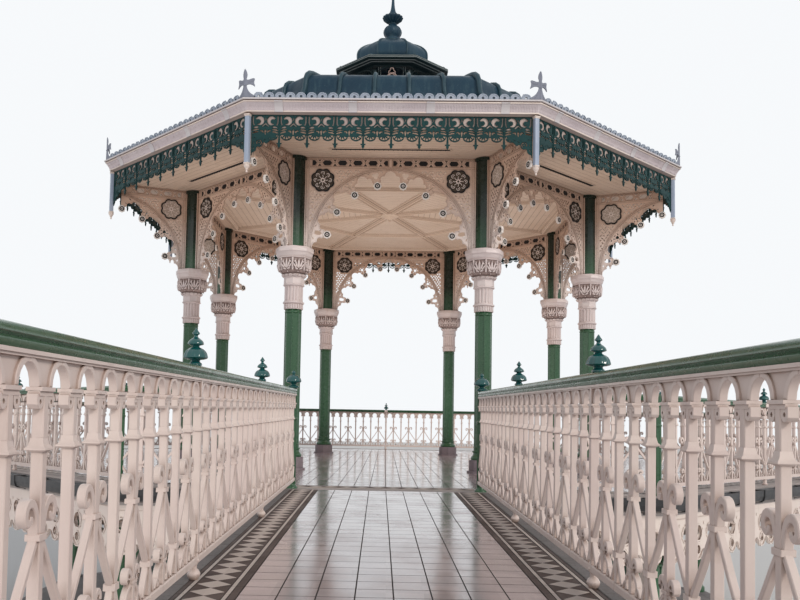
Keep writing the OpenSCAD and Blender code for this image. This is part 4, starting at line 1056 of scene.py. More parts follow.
def makeNewels():
    r = site["newelR"]
    z = site["railZ"]
    ringZ, core = 0.69 * z, r * toCorner * 0.94
    cap = [(0, z - 0.002), (r, z - 0.001), (1.45 * r, z + 0.004), (1.5 * r, z + 0.01), (1.5 * r, z + 0.022),
        (1.3 * r, z + 0.029), (0.8 * r, z + 0.036), (0.7 * r, z + 0.048), (0.9 * r, z + 0.056), (1.5 * r, z + 0.062),
        (2.0 * r, z + 0.07), (2.12 * r, z + 0.078), (2.1 * r, z + 0.09), (1.98 * r, z + 0.108), (1.7 * r, z + 0.126),
        (1.25 * r, z + 0.142), (0.8 * r, z + 0.152), (0.42 * r, z + 0.16), (0.4 * r, z + 0.168),
        (0.6 * r, z + 0.177), (0.5 * r, z + 0.189), (0.2 * r, z + 0.203), (0, z + 0.2105)]
    for name, node, places in (
            ("bridgeNewelSet", "bridge_newels",
             [move(s * site["bridgeHalf"], -site["deckA"], site["deck"]) for s in (-1, 1)]
             + [onBridge @ move(s * site["bridgeHalf"], -site["panel"] * site["panels"]) for s in (-1, 1)]),
            ("deckNewelSet", "deck_newels",
             [onCorner(k) @ move(site["deckA"] * toCorner, 0, site["deck"]) @ spinZ(22.5) for k in range(8)])):
        bm, bulbs = bmesh.new(), bmesh.new()
        for place in places:
            made = bmesh.ops.create_cone(bm, cap_ends=True, segments=8, radius1=core, radius2=core,
                                         depth=z)["verts"]
            bmesh.ops.transform(bm, matrix=place @ spinZ(22.5) @ move(0, 0, z / 2), verts=made)
            for k in range(8):
                a = math.radians(45 * k + 22.5)
                addTurned(bm, [(0.0055, 0.07), (0.0055, z - 0.02)], 6,
                          place @ move(core * math.cos(a), core * math.sin(a)))
            addTurned(bm, [(0, 0), (1.7 * r, 0), (1.72 * r, 0.012), (1.6 * r, 0.022), (1.35 * r, 0.03),
                           (1.15 * r, 0.042), (1.1 * r, 0.06), (1.2 * r, 0.068), (1.2 * r, 0.078), (0.9 * r, 0.088),
                           (0, 0.088)], 24, place)
            addTurned(bm, [(0.8 * r, ringZ - 0.026), (1.12 * r, ringZ - 0.02), (1.22 * r, ringZ - 0.008),
                           (1.35 * r, ringZ - 0.004), (1.35 * r, ringZ + 0.006), (1.2 * r, ringZ + 0.01),
                           (1.08 * r, ringZ + 0.022), (0.8 * r, ringZ + 0.024)], 24, place)
            fluted(bulbs, cap, 10, 0.09, z + 0.06, z + 0.152, 40, place)
        piece(name, bm, "greenIron", [node], smooth=40)
        piece(name + "Bulbs", bulbs, "tealIron", smooth=50)
    posts, bulbs = bmesh.new(), bmesh.new()
    for k in range(8):
        if k != 6:
            place = spinZ(45 * k) @ move(site["deckA"], 0, site["deck"])
            addTurned(posts, [(0, 0), (0.034, 0), (0.036, 0.02), (0.026, 0.034), (0.022, 0.07), (0.022, 0.5),
                              (0.028, 0.51), (0.028, 0.535), (0.022, 0.545), (0.022, 1.07), (0, 1.07)], 16, place)
            addBar(posts, (0.098, 2.2 * r, 0.062), (0, 0, 1.111), place, 0.006)
            fluted(bulbs, railBulb, 12, 0.1, 0.036, 0.096, 40, place @ move(0, 0, z - 0.001))
    piece("middlePosts", posts, "creamIron")
    piece("middleBulbs", bulbs, "tealIron", smooth=50)


# ---- fretwork arches and brackets

fret = {
    "thick": 0.022, "high": 1.51, "shaft": 0.145, "border": 0.0625, "arc": 1.0307, "arcZ": 0.0363,
    "foils": 5, "step": 180 / 8.04, "foilR": 0.09, "foilOut": 0.143, "sideR": 0.055, "sideOut": 0.105,
    "sideTurn": 5.3, "rosetteR": 0.068, "lineR": 1.298, "lineW": 0.028,
    "roundelX": 0.432, "roundelZ": 1.13, "roundelR": 0.2,
    "friezeZ": 1.42, "friezeLow": 1.345, "holeBays": 5, "holeNear": 0.0375, "holeEnd": 0.11,
    "slotPitch": 0.062, "bracketReach": 1.3375,
}


def cutOutline(points, axis, level, above):
    # keeps the part of an outline above or below a level
    out = []
    for p, q in zip(points, points[1:] + points[:1]):
        inP, inQ = ((p[axis] >= level) == above), ((q[axis] >= level) == above)
        if inP:
            out.append(p)
        if inP != inQ:
            t = (level - p[axis]) / (q[axis] - p[axis])
            out.append(tuple(a + (b - a) * t for a, b in zip(p, q)))
    return out


def foilPoints():
    # one foil of three lobes as pairs of (along, out) about the arch's middle
    big = fret["arc"] + fret["foilOut"]
    turn = math.radians(fret["sideTurn"])
    sx, sy = (fret["arc"] + fret["sideOut"]) * math.sin(turn), (fret["arc"] + fret["sideOut"]) * math.cos(turn)
    d = math.hypot(-sx, big - sy)
    ux, uy = -sx / d, (big - sy) / d
    along = (d * d + fret["sideR"] ** 2 - fret["foilR"] ** 2) / (2 * d)
    off = math.sqrt(fret["sideR"] ** 2 - along ** 2)
    mx, my = sx + along * ux + off * uy, sy + along * uy - off * ux
    half = arc(0, big, fret["foilR"], 90, math.degrees(math.atan2(my - big, mx)), 6)
    half += arc(sx, sy, fret["sideR"], math.degrees(math.atan2(my - sy, mx - sx)), -35, 6)[1:]
    cusp = math.radians(fret["step"] / 2)
    half += [((fret["arc"] + 0.01) * math.sin(cusp - math.radians(1)), fret["arc"] + 0.01),
             (1.02 * math.sin(cusp), 1.02 * math.cos(cusp))]
    return [(-t, r) for t, r in reversed(half[1:])] + half


def onArch(angle, t, r):
    # a place given by its distance along and out from the arch's middle
    a = math.radians(angle)
    return (site["gap"] + r * math.cos(a) + t * math.sin(a), fret["arcZ"] + r * math.sin(a) - t * math.cos(a))


def cuspedLine():
    return [onArch(180 - i * fret["step"], t, r) for i in range(fret["foils"]) for t, r in foilPoints()]


def fretContour(reach):
    edge = cuspedLine()
    whole = [(fret["shaft"], -0.5), (edge[0][0], -0.5)] + edge + [(edge[-1][0], fret["high"]),
                                                                (fret["shaft"], fret["high"])]
    return cutOutline(cutOutline(whole, 1, 0.0, True), 0, reach, False)


def cuspOpenings(i):
    # the pierced field behind each rosette, from the lowest to the one beside the crown
    angle = 180 - (i + 0.5) * fret["step"]
    if i == 0:
        local = [[(0, 1.12), (0.03, 1.148), (0.038, 1.195), (0.026, 1.238), (-0.026, 1.238), (-0.038, 1.195),
                  (-0.03, 1.148)]]
    elif i == 3:
        local = [lobed(0, 1.2, 0.06, 3, 0.42, 6, -90)]
    else:
        local = [leaf(0, 1.238, 0.052, 0.03, 0), lobed(0, 1.185, 0.034, 3, 0.3, 5, -90),
            leaf(0, 1.128, 0.04, 0.024, 1.57)]
        for s in (-1, 1):
            local.append(leaf(s * 0.054, 1.215, 0.052, 0.026, s * 1.1, 0.2 * s))
    for s in (-1, 1):
        local += [leaf(s * 0.105, 1.243, 0.052, 0.024, -s * 0.5, 0.2), leaf(s * 0.046, 1.15, 0.038, 0.02, -s * 1.0)]
    if i == 0:
        del local[2]
    return [[onArch(angle, t, r) for t, r in points] for points in local]


def friezeHoles(reach):
    holes, triangles = [], []
    near, far = fret["holeNear"], site["gap"] - fret["shaft"] - fret["holeEnd"]
    pitch = (far - near) / fret["holeBays"]
    z = fret["friezeZ"]
    for i in range(fret["holeBays"] + 1):
        x = site["gap"] - near - i * pitch
        hexagon = [(x - 0.083, z), (x - 0.05, z + 0.047), (x + 0.05, z + 0.047), (x + 0.083, z),
                   (x + 0.05, z - 0.047), (x - 0.05, z - 0.047)]
        if i == 0:
            hexagon = cutOutline(hexagon, 0, x, False)
        if i == fret["holeBays"]:
            hexagon = cutOutline(hexagon, 0, x, True)
        if max(px for px, _ in hexagon) < reach - 0.01:
            holes.append(hexagon)
        if i < fret["holeBays"] and x < reach + 0.05:
            m = x - pitch / 2
            for s in (-1, 1):
                triangles.append([(m - 0.03, z + s * 0.05), (m, z + s * 0.016), (m + 0.03, z + s * 0.05)][::s])
    return holes, triangles


def leafSlots(reach):
    # the scrolled foliage of the spandrel, cut as bent leaves
    out = []
    row, z = 0, 0.07
    while z < fret["friezeLow"] - 0.038:
        x = fret["shaft"] + fret["border"] + 0.038 + (fret["slotPitch"] / 2 if row % 2 else 0)
        column = 0
        while x < min(reach, site["gap"]) - 0.034:
            clear = min(math.hypot(x - site["gap"], z - fret["arcZ"]) - fret["lineR"] - fret["lineW"] / 2,
                        math.hypot(x - fret["roundelX"], z - fret["roundelZ"]) - fret["roundelR"])
            if clear > 0.026:
                turn = math.radians(45 + 90 * ((row + column) % 2) + random.uniform(-16, 16))
                bend = 0.55 if (row // 2 + column) % 2 else -0.55
                out.append(leaf(x, z, 0.054, 0.035, turn, bend))
            x += fret["slotPitch"]
            column += 1
        z += fret["slotPitch"] * 0.78
        row += 1
    return out


def rosetteMesh():
    bm = bmesh.new()
    addMesh(bm, plate([lobed(0, 0, fret["rosetteR"], 8, 0.18, 5)], 0.036, 0.004))
    for s in (-1, 1):
        for i in range(8):
            a = math.radians(45 * i + 22.5)
            addTurned(bm, [(0.007, 0.016), (0.005, 0.02), (0, 0.0212)], 6,
                      spin(90 * s, "X") @ move(0.054 * math.cos(a), 0.054 * math.sin(a)))
    return meshFrom(bm)


def rosetteDark():
    # the dark ring and the eye of a rosette
    return plate([ring(0, 0, 0.044, 16), ring(0, 0, 0.024, 16), ring(0, 0, 0.012, 8)], 0.041)


def roundelParts():
    r = fret["roundelR"]
    thick = fret["thick"] + 0.008
    rim, tracery = bmesh.new(), bmesh.new()
    addMesh(rim, plate([lobed(0, 0, r, 8, 0.13, 6, 22.5), lobed(0, 0, r - 0.029, 8, 0.15, 6, 22.5)], thick + 0.022,
        0.003))
    for i in range(8):
        a = math.radians(45 * i)
        middle = Matrix.Rotation(-a, 4, "Y") @ move(0.117, 0, 0)
        hook = stroke(arc(0, 0, 0.028, -150, 110, 8), 0.012)
        addMesh(tracery, plate([hook], thick + 0.015, 0.002), middle)
        addMesh(tracery, plate([leaf(0.002, -0.002, 0.03, 0.014, 0.6)], thick + 0.015), middle)
        addMesh(tracery, plate([stroke(smoothLine([(-0.09, 0.01), (-0.062, -0.006), (-0.032, 0.004)], 2), 0.009)],
                               thick + 0.013), middle)
    addMesh(tracery, plate([lobed(0, 0, 0.04, 6, 0.25, 4), ring(0, 0, 0.018, 10)], thick + 0.017, 0.002))
    ground = plate([lobed(0, 0, r - 0.004, 8, 0.13, 5, 22.5)], thick + 0.006)
    return meshFrom(rim), meshFrom(tracery), ground


def fretHalf(reach, dark):
    # one half of an arch, x measured from the column's axis: the casting and its dark backing, which is painted
    # shade behind the frieze holes
    thick, high, shaft = fret["thick"], fret["high"], fret["shaft"]
    cast, bright = bmesh.new(), bmesh.new()
    hexes, triangles = friezeHoles(reach)
    openings = hexes + triangles + leafSlots(reach)
    for i in range(fret["foils"] - 1):
        openings += [o for o in cuspOpenings(i)
                     if max(x for x, _ in o) < reach - 0.014 and min(z for _, z in o) > 0.012]
    addMesh(cast, plate([fretContour(reach)] + openings, thick))
    edge = [p for p in cuspedLine() if p[1] > 0.0 and p[0] < reach - 0.002]
    for s in (-1, 1):
        addMesh(cast, tube([(x, s * thick / 2, z) for x, z in edge], 0.008, corners=0))
        for o in hexes:
            addMesh(cast, tube([(x, s * thick / 2, z) for x, z in o], 0.007, True, 0))
    low = math.degrees(math.asin(-fret["arcZ"] / fret["lineR"]))
    top = 90 if reach >= site["gap"] else math.degrees(math.acos((reach - site["gap"]) / fret["lineR"]))
    line = arc(site["gap"], fret["arcZ"], fret["lineR"], 180 - low, top, 30)
    addMesh(cast, plate([stroke(line, fret["lineW"])], thick + 0.014, 0.003))
    for r in (fret["lineR"] - 0.012, fret["lineR"] + 0.012):
        bead = arc(site["gap"], fret["arcZ"], r, 180 - low, top, 30)
        addMesh(cast, plate([stroke(bead, 0.009)], thick + 0.03, 0.002))
    length = reach - shaft
    for z, wide, out in ((fret["friezeLow"], 0.016, 0.02), (fret["friezeLow"] + 0.018, 0.008, 0.012),
                         (high - 0.014, 0.028, 0.02), (high - 0.04, 0.008, 0.012)):
        addBar(cast, (length, thick + out, wide), (shaft + length / 2, 0, z), bevel=0.003)
    addBar(cast, (0.016, thick + 0.06, high), (shaft + 0.008, 0, high / 2), bevel=0.003)
    addBar(cast, (0.01, thick + 0.014, high - 0.17), (shaft + fret["border"], 0, (high - 0.17) / 2), bevel=0.003)
    addBar(cast, (0.01, thick + 0.018, 0.15), (shaft + fret["border"], 0, fret["friezeZ"]), bevel=0.003)
    if reach >= site["gap"]:
        addBar(cast, (0.02, thick + 0.018, 0.15), (reach - 0.01, 0, fret["friezeZ"]))
    near, far = fret["holeNear"], site["gap"] - shaft - fret["holeEnd"]
    pitch = (far - near) / fret["holeBays"]
    for i in range(fret["holeBays"]):
        m = site["gap"] - near - (i + 0.5) * pitch
        if m + 0.05 < reach:
            for s in (-1, 1):
                addBar(cast, (0.015, thick + 0.014, 0.155), (0, 0, 0), move(m, 0, fret["friezeZ"])
                       @ spin(s * 36, "Y"))
    for z in (0.1, 0.52, 0.94, 1.36):
        for s in (-1, 1):
            addTurned(cast, [(0, 0.007), (0.006, 0.006), (0.01, 0.0), (0.01, -0.006)], 8,
                      move(shaft + 0.036, s * thick / 2, z) @ spin(-90 * s, "X"))
    darks = bmesh.new()
    for i in range(fret["foils"] - 1):
        x, z = onArch(180 - (i + 0.5) * fret["step"], 0, fret["arc"])
        if x < reach + 0.012:
            addMesh(bright, castMeshes["rosette"], move(x, 0, z))
            addMesh(darks, castMeshes["rosetteDark"], move(x, 0, z))
    # painted shade: a dark plate inside the frieze makes its hexagonal holes read as shadow
    if dark:
        addBar(darks, (reach - shaft - 0.09, thick - 0.006, 0.106), ((reach + shaft + 0.09) / 2, 0, fret["friezeZ"]))
    at = move(fret["roundelX"], 0, fret["roundelZ"])
    addMesh(darks, castMeshes["rim"], at)
    return meshFrom(cast), meshFrom(darks), meshFrom(bright), at


castMeshes = {}


def makeFretwork():
    castMeshes["rosette"], castMeshes["rosetteDark"] = rosetteMesh(), rosetteDark()
    castMeshes["rim"], castMeshes["tracery"], castMeshes["ground"] = roundelParts()
    cast, darks, bright, at = fretHalf(site["gap"], True)
    halves = (move(-site["gap"]), move(site["gap"]) @ scaled(-1))
    allDarks, ground, tracery, rosettes = bmesh.new(), bmesh.new(), bmesh.new(), bmesh.new()
    for number in range(1, 9):
        bm = bmesh.new()
        place = onSide((number + 5) % 8) @ move(0, site["columnA"], site["capitalTop"])
        for half in halves:
            addMesh(bm, cast, place @ half)
            addMesh(allDarks, darks, place @ half)
            addMesh(rosettes, bright, place @ half)
            addMesh(ground, castMeshes["ground"], place @ half @ at)
            addMesh(tracery, castMeshes["tracery"], place @ half @ at)
        piece(f"fretArch{number}", bm, "fretIron", [f"arch_{number}"])
    piece("roundelGrounds", ground, "roundelGround")
    cast, darks, bright, at = fretHalf(fret["bracketReach"], False)
    brackets, grounds = bmesh.new(), bmesh.new()
    for k in range(8):
        place = atColumn(k, site["capitalTop"])
        addMesh(brackets, cast, place)
        addMesh(allDarks, darks, place)
        addMesh(rosettes, bright, place)
        addMesh(grounds, castMeshes["ground"], place @ at)
        addMesh(tracery, castMeshes["tracery"], place @ at)
    piece("rosettes", rosettes, "rosettePaint")
    piece("eaveFret", brackets, "fretIron", ["eave_brackets"])
    piece("bracketGrounds", grounds, "traceryGround")
    piece("roundelTracery", tracery, "rimCream")
    piece("fretDarks", allDarks, "darkRecess")


# ---- capitals

capital = {
    "z": 5.765, "flutes": 16, "tongues": 24, "shells": 16,
}


def turnedWith(profile, steps, ribs, depth, zLow, zHigh, sharp=1.0):
    # a turned form with hollow flutes between two heights
    bm = bmesh.new()
    for v in addTurned(bm, profile, steps):
        r = math.hypot(v.co.x, v.co.y)
        if r > 0.01 and zLow < v.co.z < zHigh:
            a = math.atan2(v.co.y, v.co.x)
            k = 1 - depth / r * max(0.0, math.cos(ribs * a)) ** sharp
            v.co.x *= k
            v.co.y *= k
    return meshFrom(bm)


def shellMesh(size):
    # a small scallop shell that leans outwards
    bm = bmesh.new()
    for i in range(5):
        a = math.radians(-56 + 28 * i)
        rib = bmesh.new()
        bmesh.ops.create_uvsphere(rib, u_segments=6, v_segments=5, radius=1.0)
        bmesh.ops.scale(rib, vec=(0.2 * size, 0.16 * size, 0.48 * size), verts=rib.verts)
        addShape(bm, rib, Matrix.Rotation(a, 4, "Y") @ move(0, 0, 0.44 * size))
    return meshFrom(bm)


def bellLeaf():
    # the raised palmette on one face of the bell, standing in xz
    bm = bmesh.new()
    thick = 0.04
    outlines = [leaf(0, 0.112, 0.175, 0.052, 1.57)]
    for s in (-1, 1):
        outlines += [leaf(s * 0.036, 0.108, 0.145, 0.04, 1.57 - s * 0.34, 0.18 * s),
                     leaf(s * 0.064, 0.084, 0.112, 0.036, 1.57 - s * 0.66, 0.2 * s),
                     leaf(s * 0.064, 0.156, 0.066, 0.03, 1.57 + s * 0.5, -0.3 * s),
                     leaf(s * 0.036, 0.032, 0.07, 0.034, 1.57 - s * 1.15)]
    for i, outline in enumerate(outlines):
        addMesh(bm, plate([outline], thick + 0.004 * (i % 3), 0.005))
    for s in (-1, 1):
        addMesh(bm, plate([stroke(arc(s * 0.062, 0.17, 0.014, 0, 300, 8), 0.007)], thick - 0.004, 0.0015))
    return meshFrom(bm)


def makeCapitals():
    c = capital
    cast = bmesh.new()
    drum = [(0, 0), (0.153, 0.0), (0.153, 0.006), (0.149, 0.01), (0.149, 0.08), (0.153, 0.088), (0.168, 0.094),
        (0.172, 0.101), (0.172, 0.112), (0.166, 0.119), (0.15, 0.126), (0.148, 0.134), (0.148, 0.142), (0.148, 0.15),
        (0.148, 0.25), (0.148, 0.35), (0.148, 0.36), (0.148, 0.368), (0.15, 0.374), (0.166, 0.38), (0.172, 0.386),
        (0.172, 0.395), (0.166, 0.401), (0.156, 0.406)]
    addMesh(cast, turnedWith(drum, 96, c["flutes"], 0.013, 0.138, 0.364, 0.7))
    edge = [(-0.015, 0.084), (-0.015, 0.022)]
    for i in range(c["tongues"]):
        a = 360 / c["tongues"] * i
        tongue = edge + arc(0, 0.022, 0.015, 180, 360, 4)[1:-1] + flipped(edge)
        addMesh(cast, plate([tongue], 0.01, 0.003), spinZ(a) @ move(0, -0.15))
    zone = bmesh.new()
    bmesh.ops.create_cone(zone, cap_ends=False, segments=8, radius1=0.168, radius2=0.165, depth=0.118)
    bevelEdges(zone, [e for e in zone.edges if abs(e.verts[0].co.z - e.verts[1].co.z) > 0.05], 0.012)
    addShape(cast, zone, move(0, 0, 0.464) @ spinZ(22.5))
    addTurned(cast, [(0.15, 0.5), (0.164, 0.516), (0.176, 0.528), (0.18, 0.54), (0.172, 0.556), (0.166, 0.58),
                     (0.19, 0.6), (0.15, 0.61)], 32)
    shell = shellMesh(0.052)
    for i in range(c["shells"]):
        addMesh(cast, shell, spinZ(360 / c["shells"] * (i + 0.5)) @ move(0.176, 0, 0.524)
                @ spin(38, "Y") @ spinZ(90))
    bell = bmesh.new()
    addTurned(bell, [(a * toCorner, z) for a, z in (
        (0, 0.812), (0.243, 0.812), (0.252, 0.818), (0.256, 0.828), (0.25, 0.836), (0.262, 0.852),
        (0.272, 0.88), (0.276, 0.905), (0.284, 0.912), (0.288, 0.922), (0.288, 0.975), (0.284, 0.985),
        (0.276, 0.9945), (0, 0.9945))], 8)
    addShape(cast, bell, spinZ(22.5))
    # the bell's ground between the leaves, in a darker paint that is painted shade
    ground = bmesh.new()
    addTurned(ground, [(a * toCorner, z) for a, z in (
        (0, 0.572), (0.175, 0.572), (0.2, 0.588), (0.22, 0.615), (0.232, 0.655), (0.237, 0.72), (0.238, 0.79),
        (0.238, 0.816), (0, 0.816))], 8)
    ground = meshFrom(ground)
    palmette = bellLeaf()
    for k in range(8):
        face = spinZ(45 * k)
        addMesh(cast, palmette, face @ move(0, -0.239, 0.6) @ spin(3, "X"))
        ribLine = [(0.226 * toCorner, 0, 0.612), (0.24 * toCorner, 0, 0.66), (0.245 * toCorner, 0, 0.73),
                   (0.247 * toCorner, 0, 0.81)]
        addMesh(cast, tube(ribLine, 0.013, place=spinZ(45 * k + 22.5)))
        for s in (-1, 1):
            addMesh(cast, tube([(s * 0.082, -0.238, 0.635), (s * 0.084, -0.2445, 0.73), (s * 0.084, -0.2455, 0.805)],
                               0.0035, place=face))
        berry = bmesh.new()
        bmesh.ops.create_icosphere(berry, subdivisions=1, radius=0.012)
        addShape(cast, berry, face @ move(0, -0.216, 0.592))
    mesh = meshFrom(cast)
    bm = bmesh.new()
    for k in range(8):
        addMesh(bm, mesh, atColumn(k, capital["z"]))
    piece("capitalCasts", bm, "capitalPaint", ["capitals"], smooth=38)
    places = [atColumn(k, capital["z"]) @ spinZ(22.5) for k in range(8)]
    piece("capitalBells", repeated(ground, places), "capitalShadedGround", smooth=20)


def makeColumnTrim():
    # bead rings at foot and neck of each shaft, and four small studs at its foot
    bm = bmesh.new()
    for k in range(8):
        place = atColumn(k, 0)
        z = site["deck"] + 0.21
        addTurned(bm, [(0.12, z + 0.186), (0.14, z + 0.188), (0.146, z + 0.196), (0.14, z + 0.206),
            (0.12, z + 0.21)], 32, place)
        addTurned(bm, [(0.12, 5.7), (0.134, 5.705), (0.14, 5.716), (0.138, 5.73), (0.13, 5.738), (0.12, 5.765)],
                  32, place)
        for i in range(4):
            a = 90 * i + 45
            addTurned(bm, [(0, 0.01), (0.01, 0.008), (0.015, 0.0), (0.015, -0.01)], 6,
                      place @ spinZ(a) @ move(0.176, 0, z + 0.014) @ spin(60, "Y"))
    piece("shaftRings", bm, "greenIron", smooth=40)
    blocks = bmesh.new()
    for k in range(8):
        place = atColumn(k, site["deck"])
        for low, high, grow in ((0.0, 0.032, 0.224), (0.034, 0.206, 0.194)):
            block = bmesh.new()
            bmesh.ops.create_cone(block, cap_ends=True, segments=8, radius1=(grow + 0.0015) * toCorner,
                                  radius2=(grow + 0.0015) * toCorner, depth=high - low)
            bevelEdges(block, block.edges[:], 0.005)
            addShape(blocks, block, place @ move(0, 0, (high + low) / 2) @ spinZ(22.5))
    piece("columnStones", blocks, "columnStone", ["column_blocks"])


# ---- eaves

valance = {
    "bays": 10, "thick": 0.014, "length": 4.1117, "lobeR": 0.092, "lobeX": 0.1, "lobeZ": -0.283,
}


def mirrorBoth(outlines):
    return outlines + [flipped(o) for o in outlines]


def valanceBay():
    # one bay between two drops: scrolls above, fans from the stems, two round lobes below
    v = valance
    half = v["length"] / v["bays"] / 2
    lobe = arc(v["lobeX"], v["lobeZ"], v["lobeR"], -14, -160, 9)
    outline = [(half, 0), (half, -0.318)] + lobe
    outline += flipped(outline)
    scroll = arc(0.088, -0.087, 0.07, 30, 300, 13) + arc(0.108, -0.098, 0.034, 290, 45, 8)
    outlines = mirrorBoth([
        scroll,
        stroke(smoothLine([(half - 0.023, -0.018), (half - 0.023, -0.09), (half - 0.028, -0.13),
                           (half - 0.04, -0.156)], 2), 0.019),
        [(0.1, -0.176), (0.128, -0.166), (0.164, -0.178), (0.186, -0.205), (0.16, -0.199), (0.116, -0.198)],
        stroke(smoothLine([(0.188, -0.237), (0.15, -0.222), (0.096, -0.217)], 2), 0.024, [0.5, 0.9, 1.1, 1.0, 0.6]),
        stroke(smoothLine([(0.188, -0.272), (0.15, -0.259), (0.106, -0.252)], 2), 0.026, [0.5, 0.9, 1.1, 1.0, 0.6]),
        arc(0.056, -0.255, 0.031, 20, 215, 7) + arc(0.062, -0.262, 0.015, 200, 30, 5),
    ])
    for a in (-25, -60, -95, -130):
        fan = [arc(v["lobeX"], v["lobeZ"], r, a + turn, a + turn, 1)[0]
               for r, turn in ((0.082, -14.5), (0.082, 14.5), (0.038, 0))]
        outlines += mirrorBoth([fan])
    outlines += [
        [(0, -0.118), (0.052, -0.166), (0.046, -0.182), (0, -0.144), (-0.046, -0.182), (-0.052, -0.166)],
        ring(0, -0.17, 0.009, 7), [(0, -0.03), (0.01, -0.062), (0, -0.1), (-0.01, -0.062)],
        [(0, -0.205), (0.017, -0.245), (0, -0.308), (-0.017, -0.245)],
    ]
    bm = bmesh.new()
    addMesh(bm, plate([outline] + outlines, v["thick"]))
    for s in (-1, 1):
        rim = [(s * x, z) for x, z in lobe[1:-1]]
        addMesh(bm, plate([stroke(rim, 0.011)], v["thick"] + 0.01))
        addTurned(bm, [(0, -0.008), (0.017, -0.004), (0.022, 0.0), (0.017, 0.004), (0, 0.008)], 8,
                  move(s * 0.112, 0, -0.098) @ spin(90, "X") @ scaled(1, 1, 1.9))
    addBar(bm, (2 * half, v["thick"] + 0.012, 0.013), (0, 0, -0.0065))
    return meshFrom(bm)


def valanceDrop():
    # the cross-shaped drop below each stem, and the bead up the stem
    half = [(0.014, -0.3), (0.017, -0.405), (0.016, -0.418), (0.028, -0.421), (0.036, -0.414), (0.041, -0.424),
            (0.038, -0.436), (0.026, -0.439), (0.018, -0.437), (0.022, -0.452), (0.018, -0.468), (0.007, -0.486),
            (0.0, -0.5)]
    bm = bmesh.new()
    addMesh(bm, plate([half + flipped(half[:-1])], valance["thick"] + 0.006, 0.003))
    addMesh(bm, plate([[(0.006, -0.02), (0.006, -0.4), (-0.006, -0.4), (-0.006, -0.02)]], valance["thick"] + 0.012,
        0.003))
    for z, r in ((-0.225, 0.02), (-0.34, 0.014)):
        addTurned(bm, [(0, -0.018), (r * 0.8, -0.016), (r, -0.01), (r, 0.01), (r * 0.8, 0.016), (0, 0.018)], 8,
                  move(0, 0, z) @ spin(90, "X"))
    return meshFrom(bm)


def valanceEnd():
    # the scrolled spandrel beside a drop post, x measured inwards from the end of the valance
    outline = [(0, -0.3), (0.37, -0.3), (0.36, -0.345), (0.315, -0.352), (0.262, -0.395), (0.236, -0.425),
               (0.214, -0.428), (0.196, -0.412), (0.176, -0.412), (0.168, -0.44), (0.15, -0.47), (0.118, -0.482),
               (0.09, -0.474), (0.078, -0.49), (0.07, -0.53), (0.046, -0.552), (0.02, -0.56), (0, -0.612)]
    holes = [
        stroke(arc(0.118, -0.415, 0.036, -60, 215, 10), 0.016), ring(0.118, -0.415, 0.011, 8),
        leaf(0.045, -0.345, 0.06, 0.016, 0.3), leaf(0.2, -0.372, 0.05, 0.014, 0.7, 0.3),
        leaf(0.265, -0.35, 0.06, 0.014, 0.5), leaf(0.035, -0.5, 0.06, 0.015, 1.3),
        leaf(0.042, -0.42, 0.05, 0.014, 1.5),
    ]
    bm = bmesh.new()
    addMesh(bm, plate([outline] + holes, valance["thick"] + 0.003))
    return meshFrom(bm)


def makeValance():
    v = valance
    bay, drop, end = valanceBay(), valanceDrop(), valanceEnd()
    p = v["length"] / v["bays"]
    bm, drops = bmesh.new(), bmesh.new()
    for k in range(8):
        place = onSide(k) @ move(0, site["valanceA"], site["valanceTop"])
        for i in range(v["bays"]):
            addMesh(bm, bay, place @ move((i + 0.5) * p - v["length"] / 2))
        for i in range(1, v["bays"]):
            addMesh(drops, drop, place @ move(i * p - v["length"] / 2))
        for s in (-1, 1):
            addMesh(drops, end, place @ move(-s * v["length"] / 2) @ scaled(s))
            addBar(drops, (0.012, v["thick"] + 0.012, 0.6), (-s * (v["length"] / 2 - 0.006), 0, -0.3), place)
    piece("valanceScrolls", bm, "valanceIron", ["valance"])
    piece("valanceDrops", drops, "valanceIron")


cornice = {
    "straps": (-1.65, -0.567, 0.567, 1.65), "strapW": 0.124, "reed": 0.0225,
}


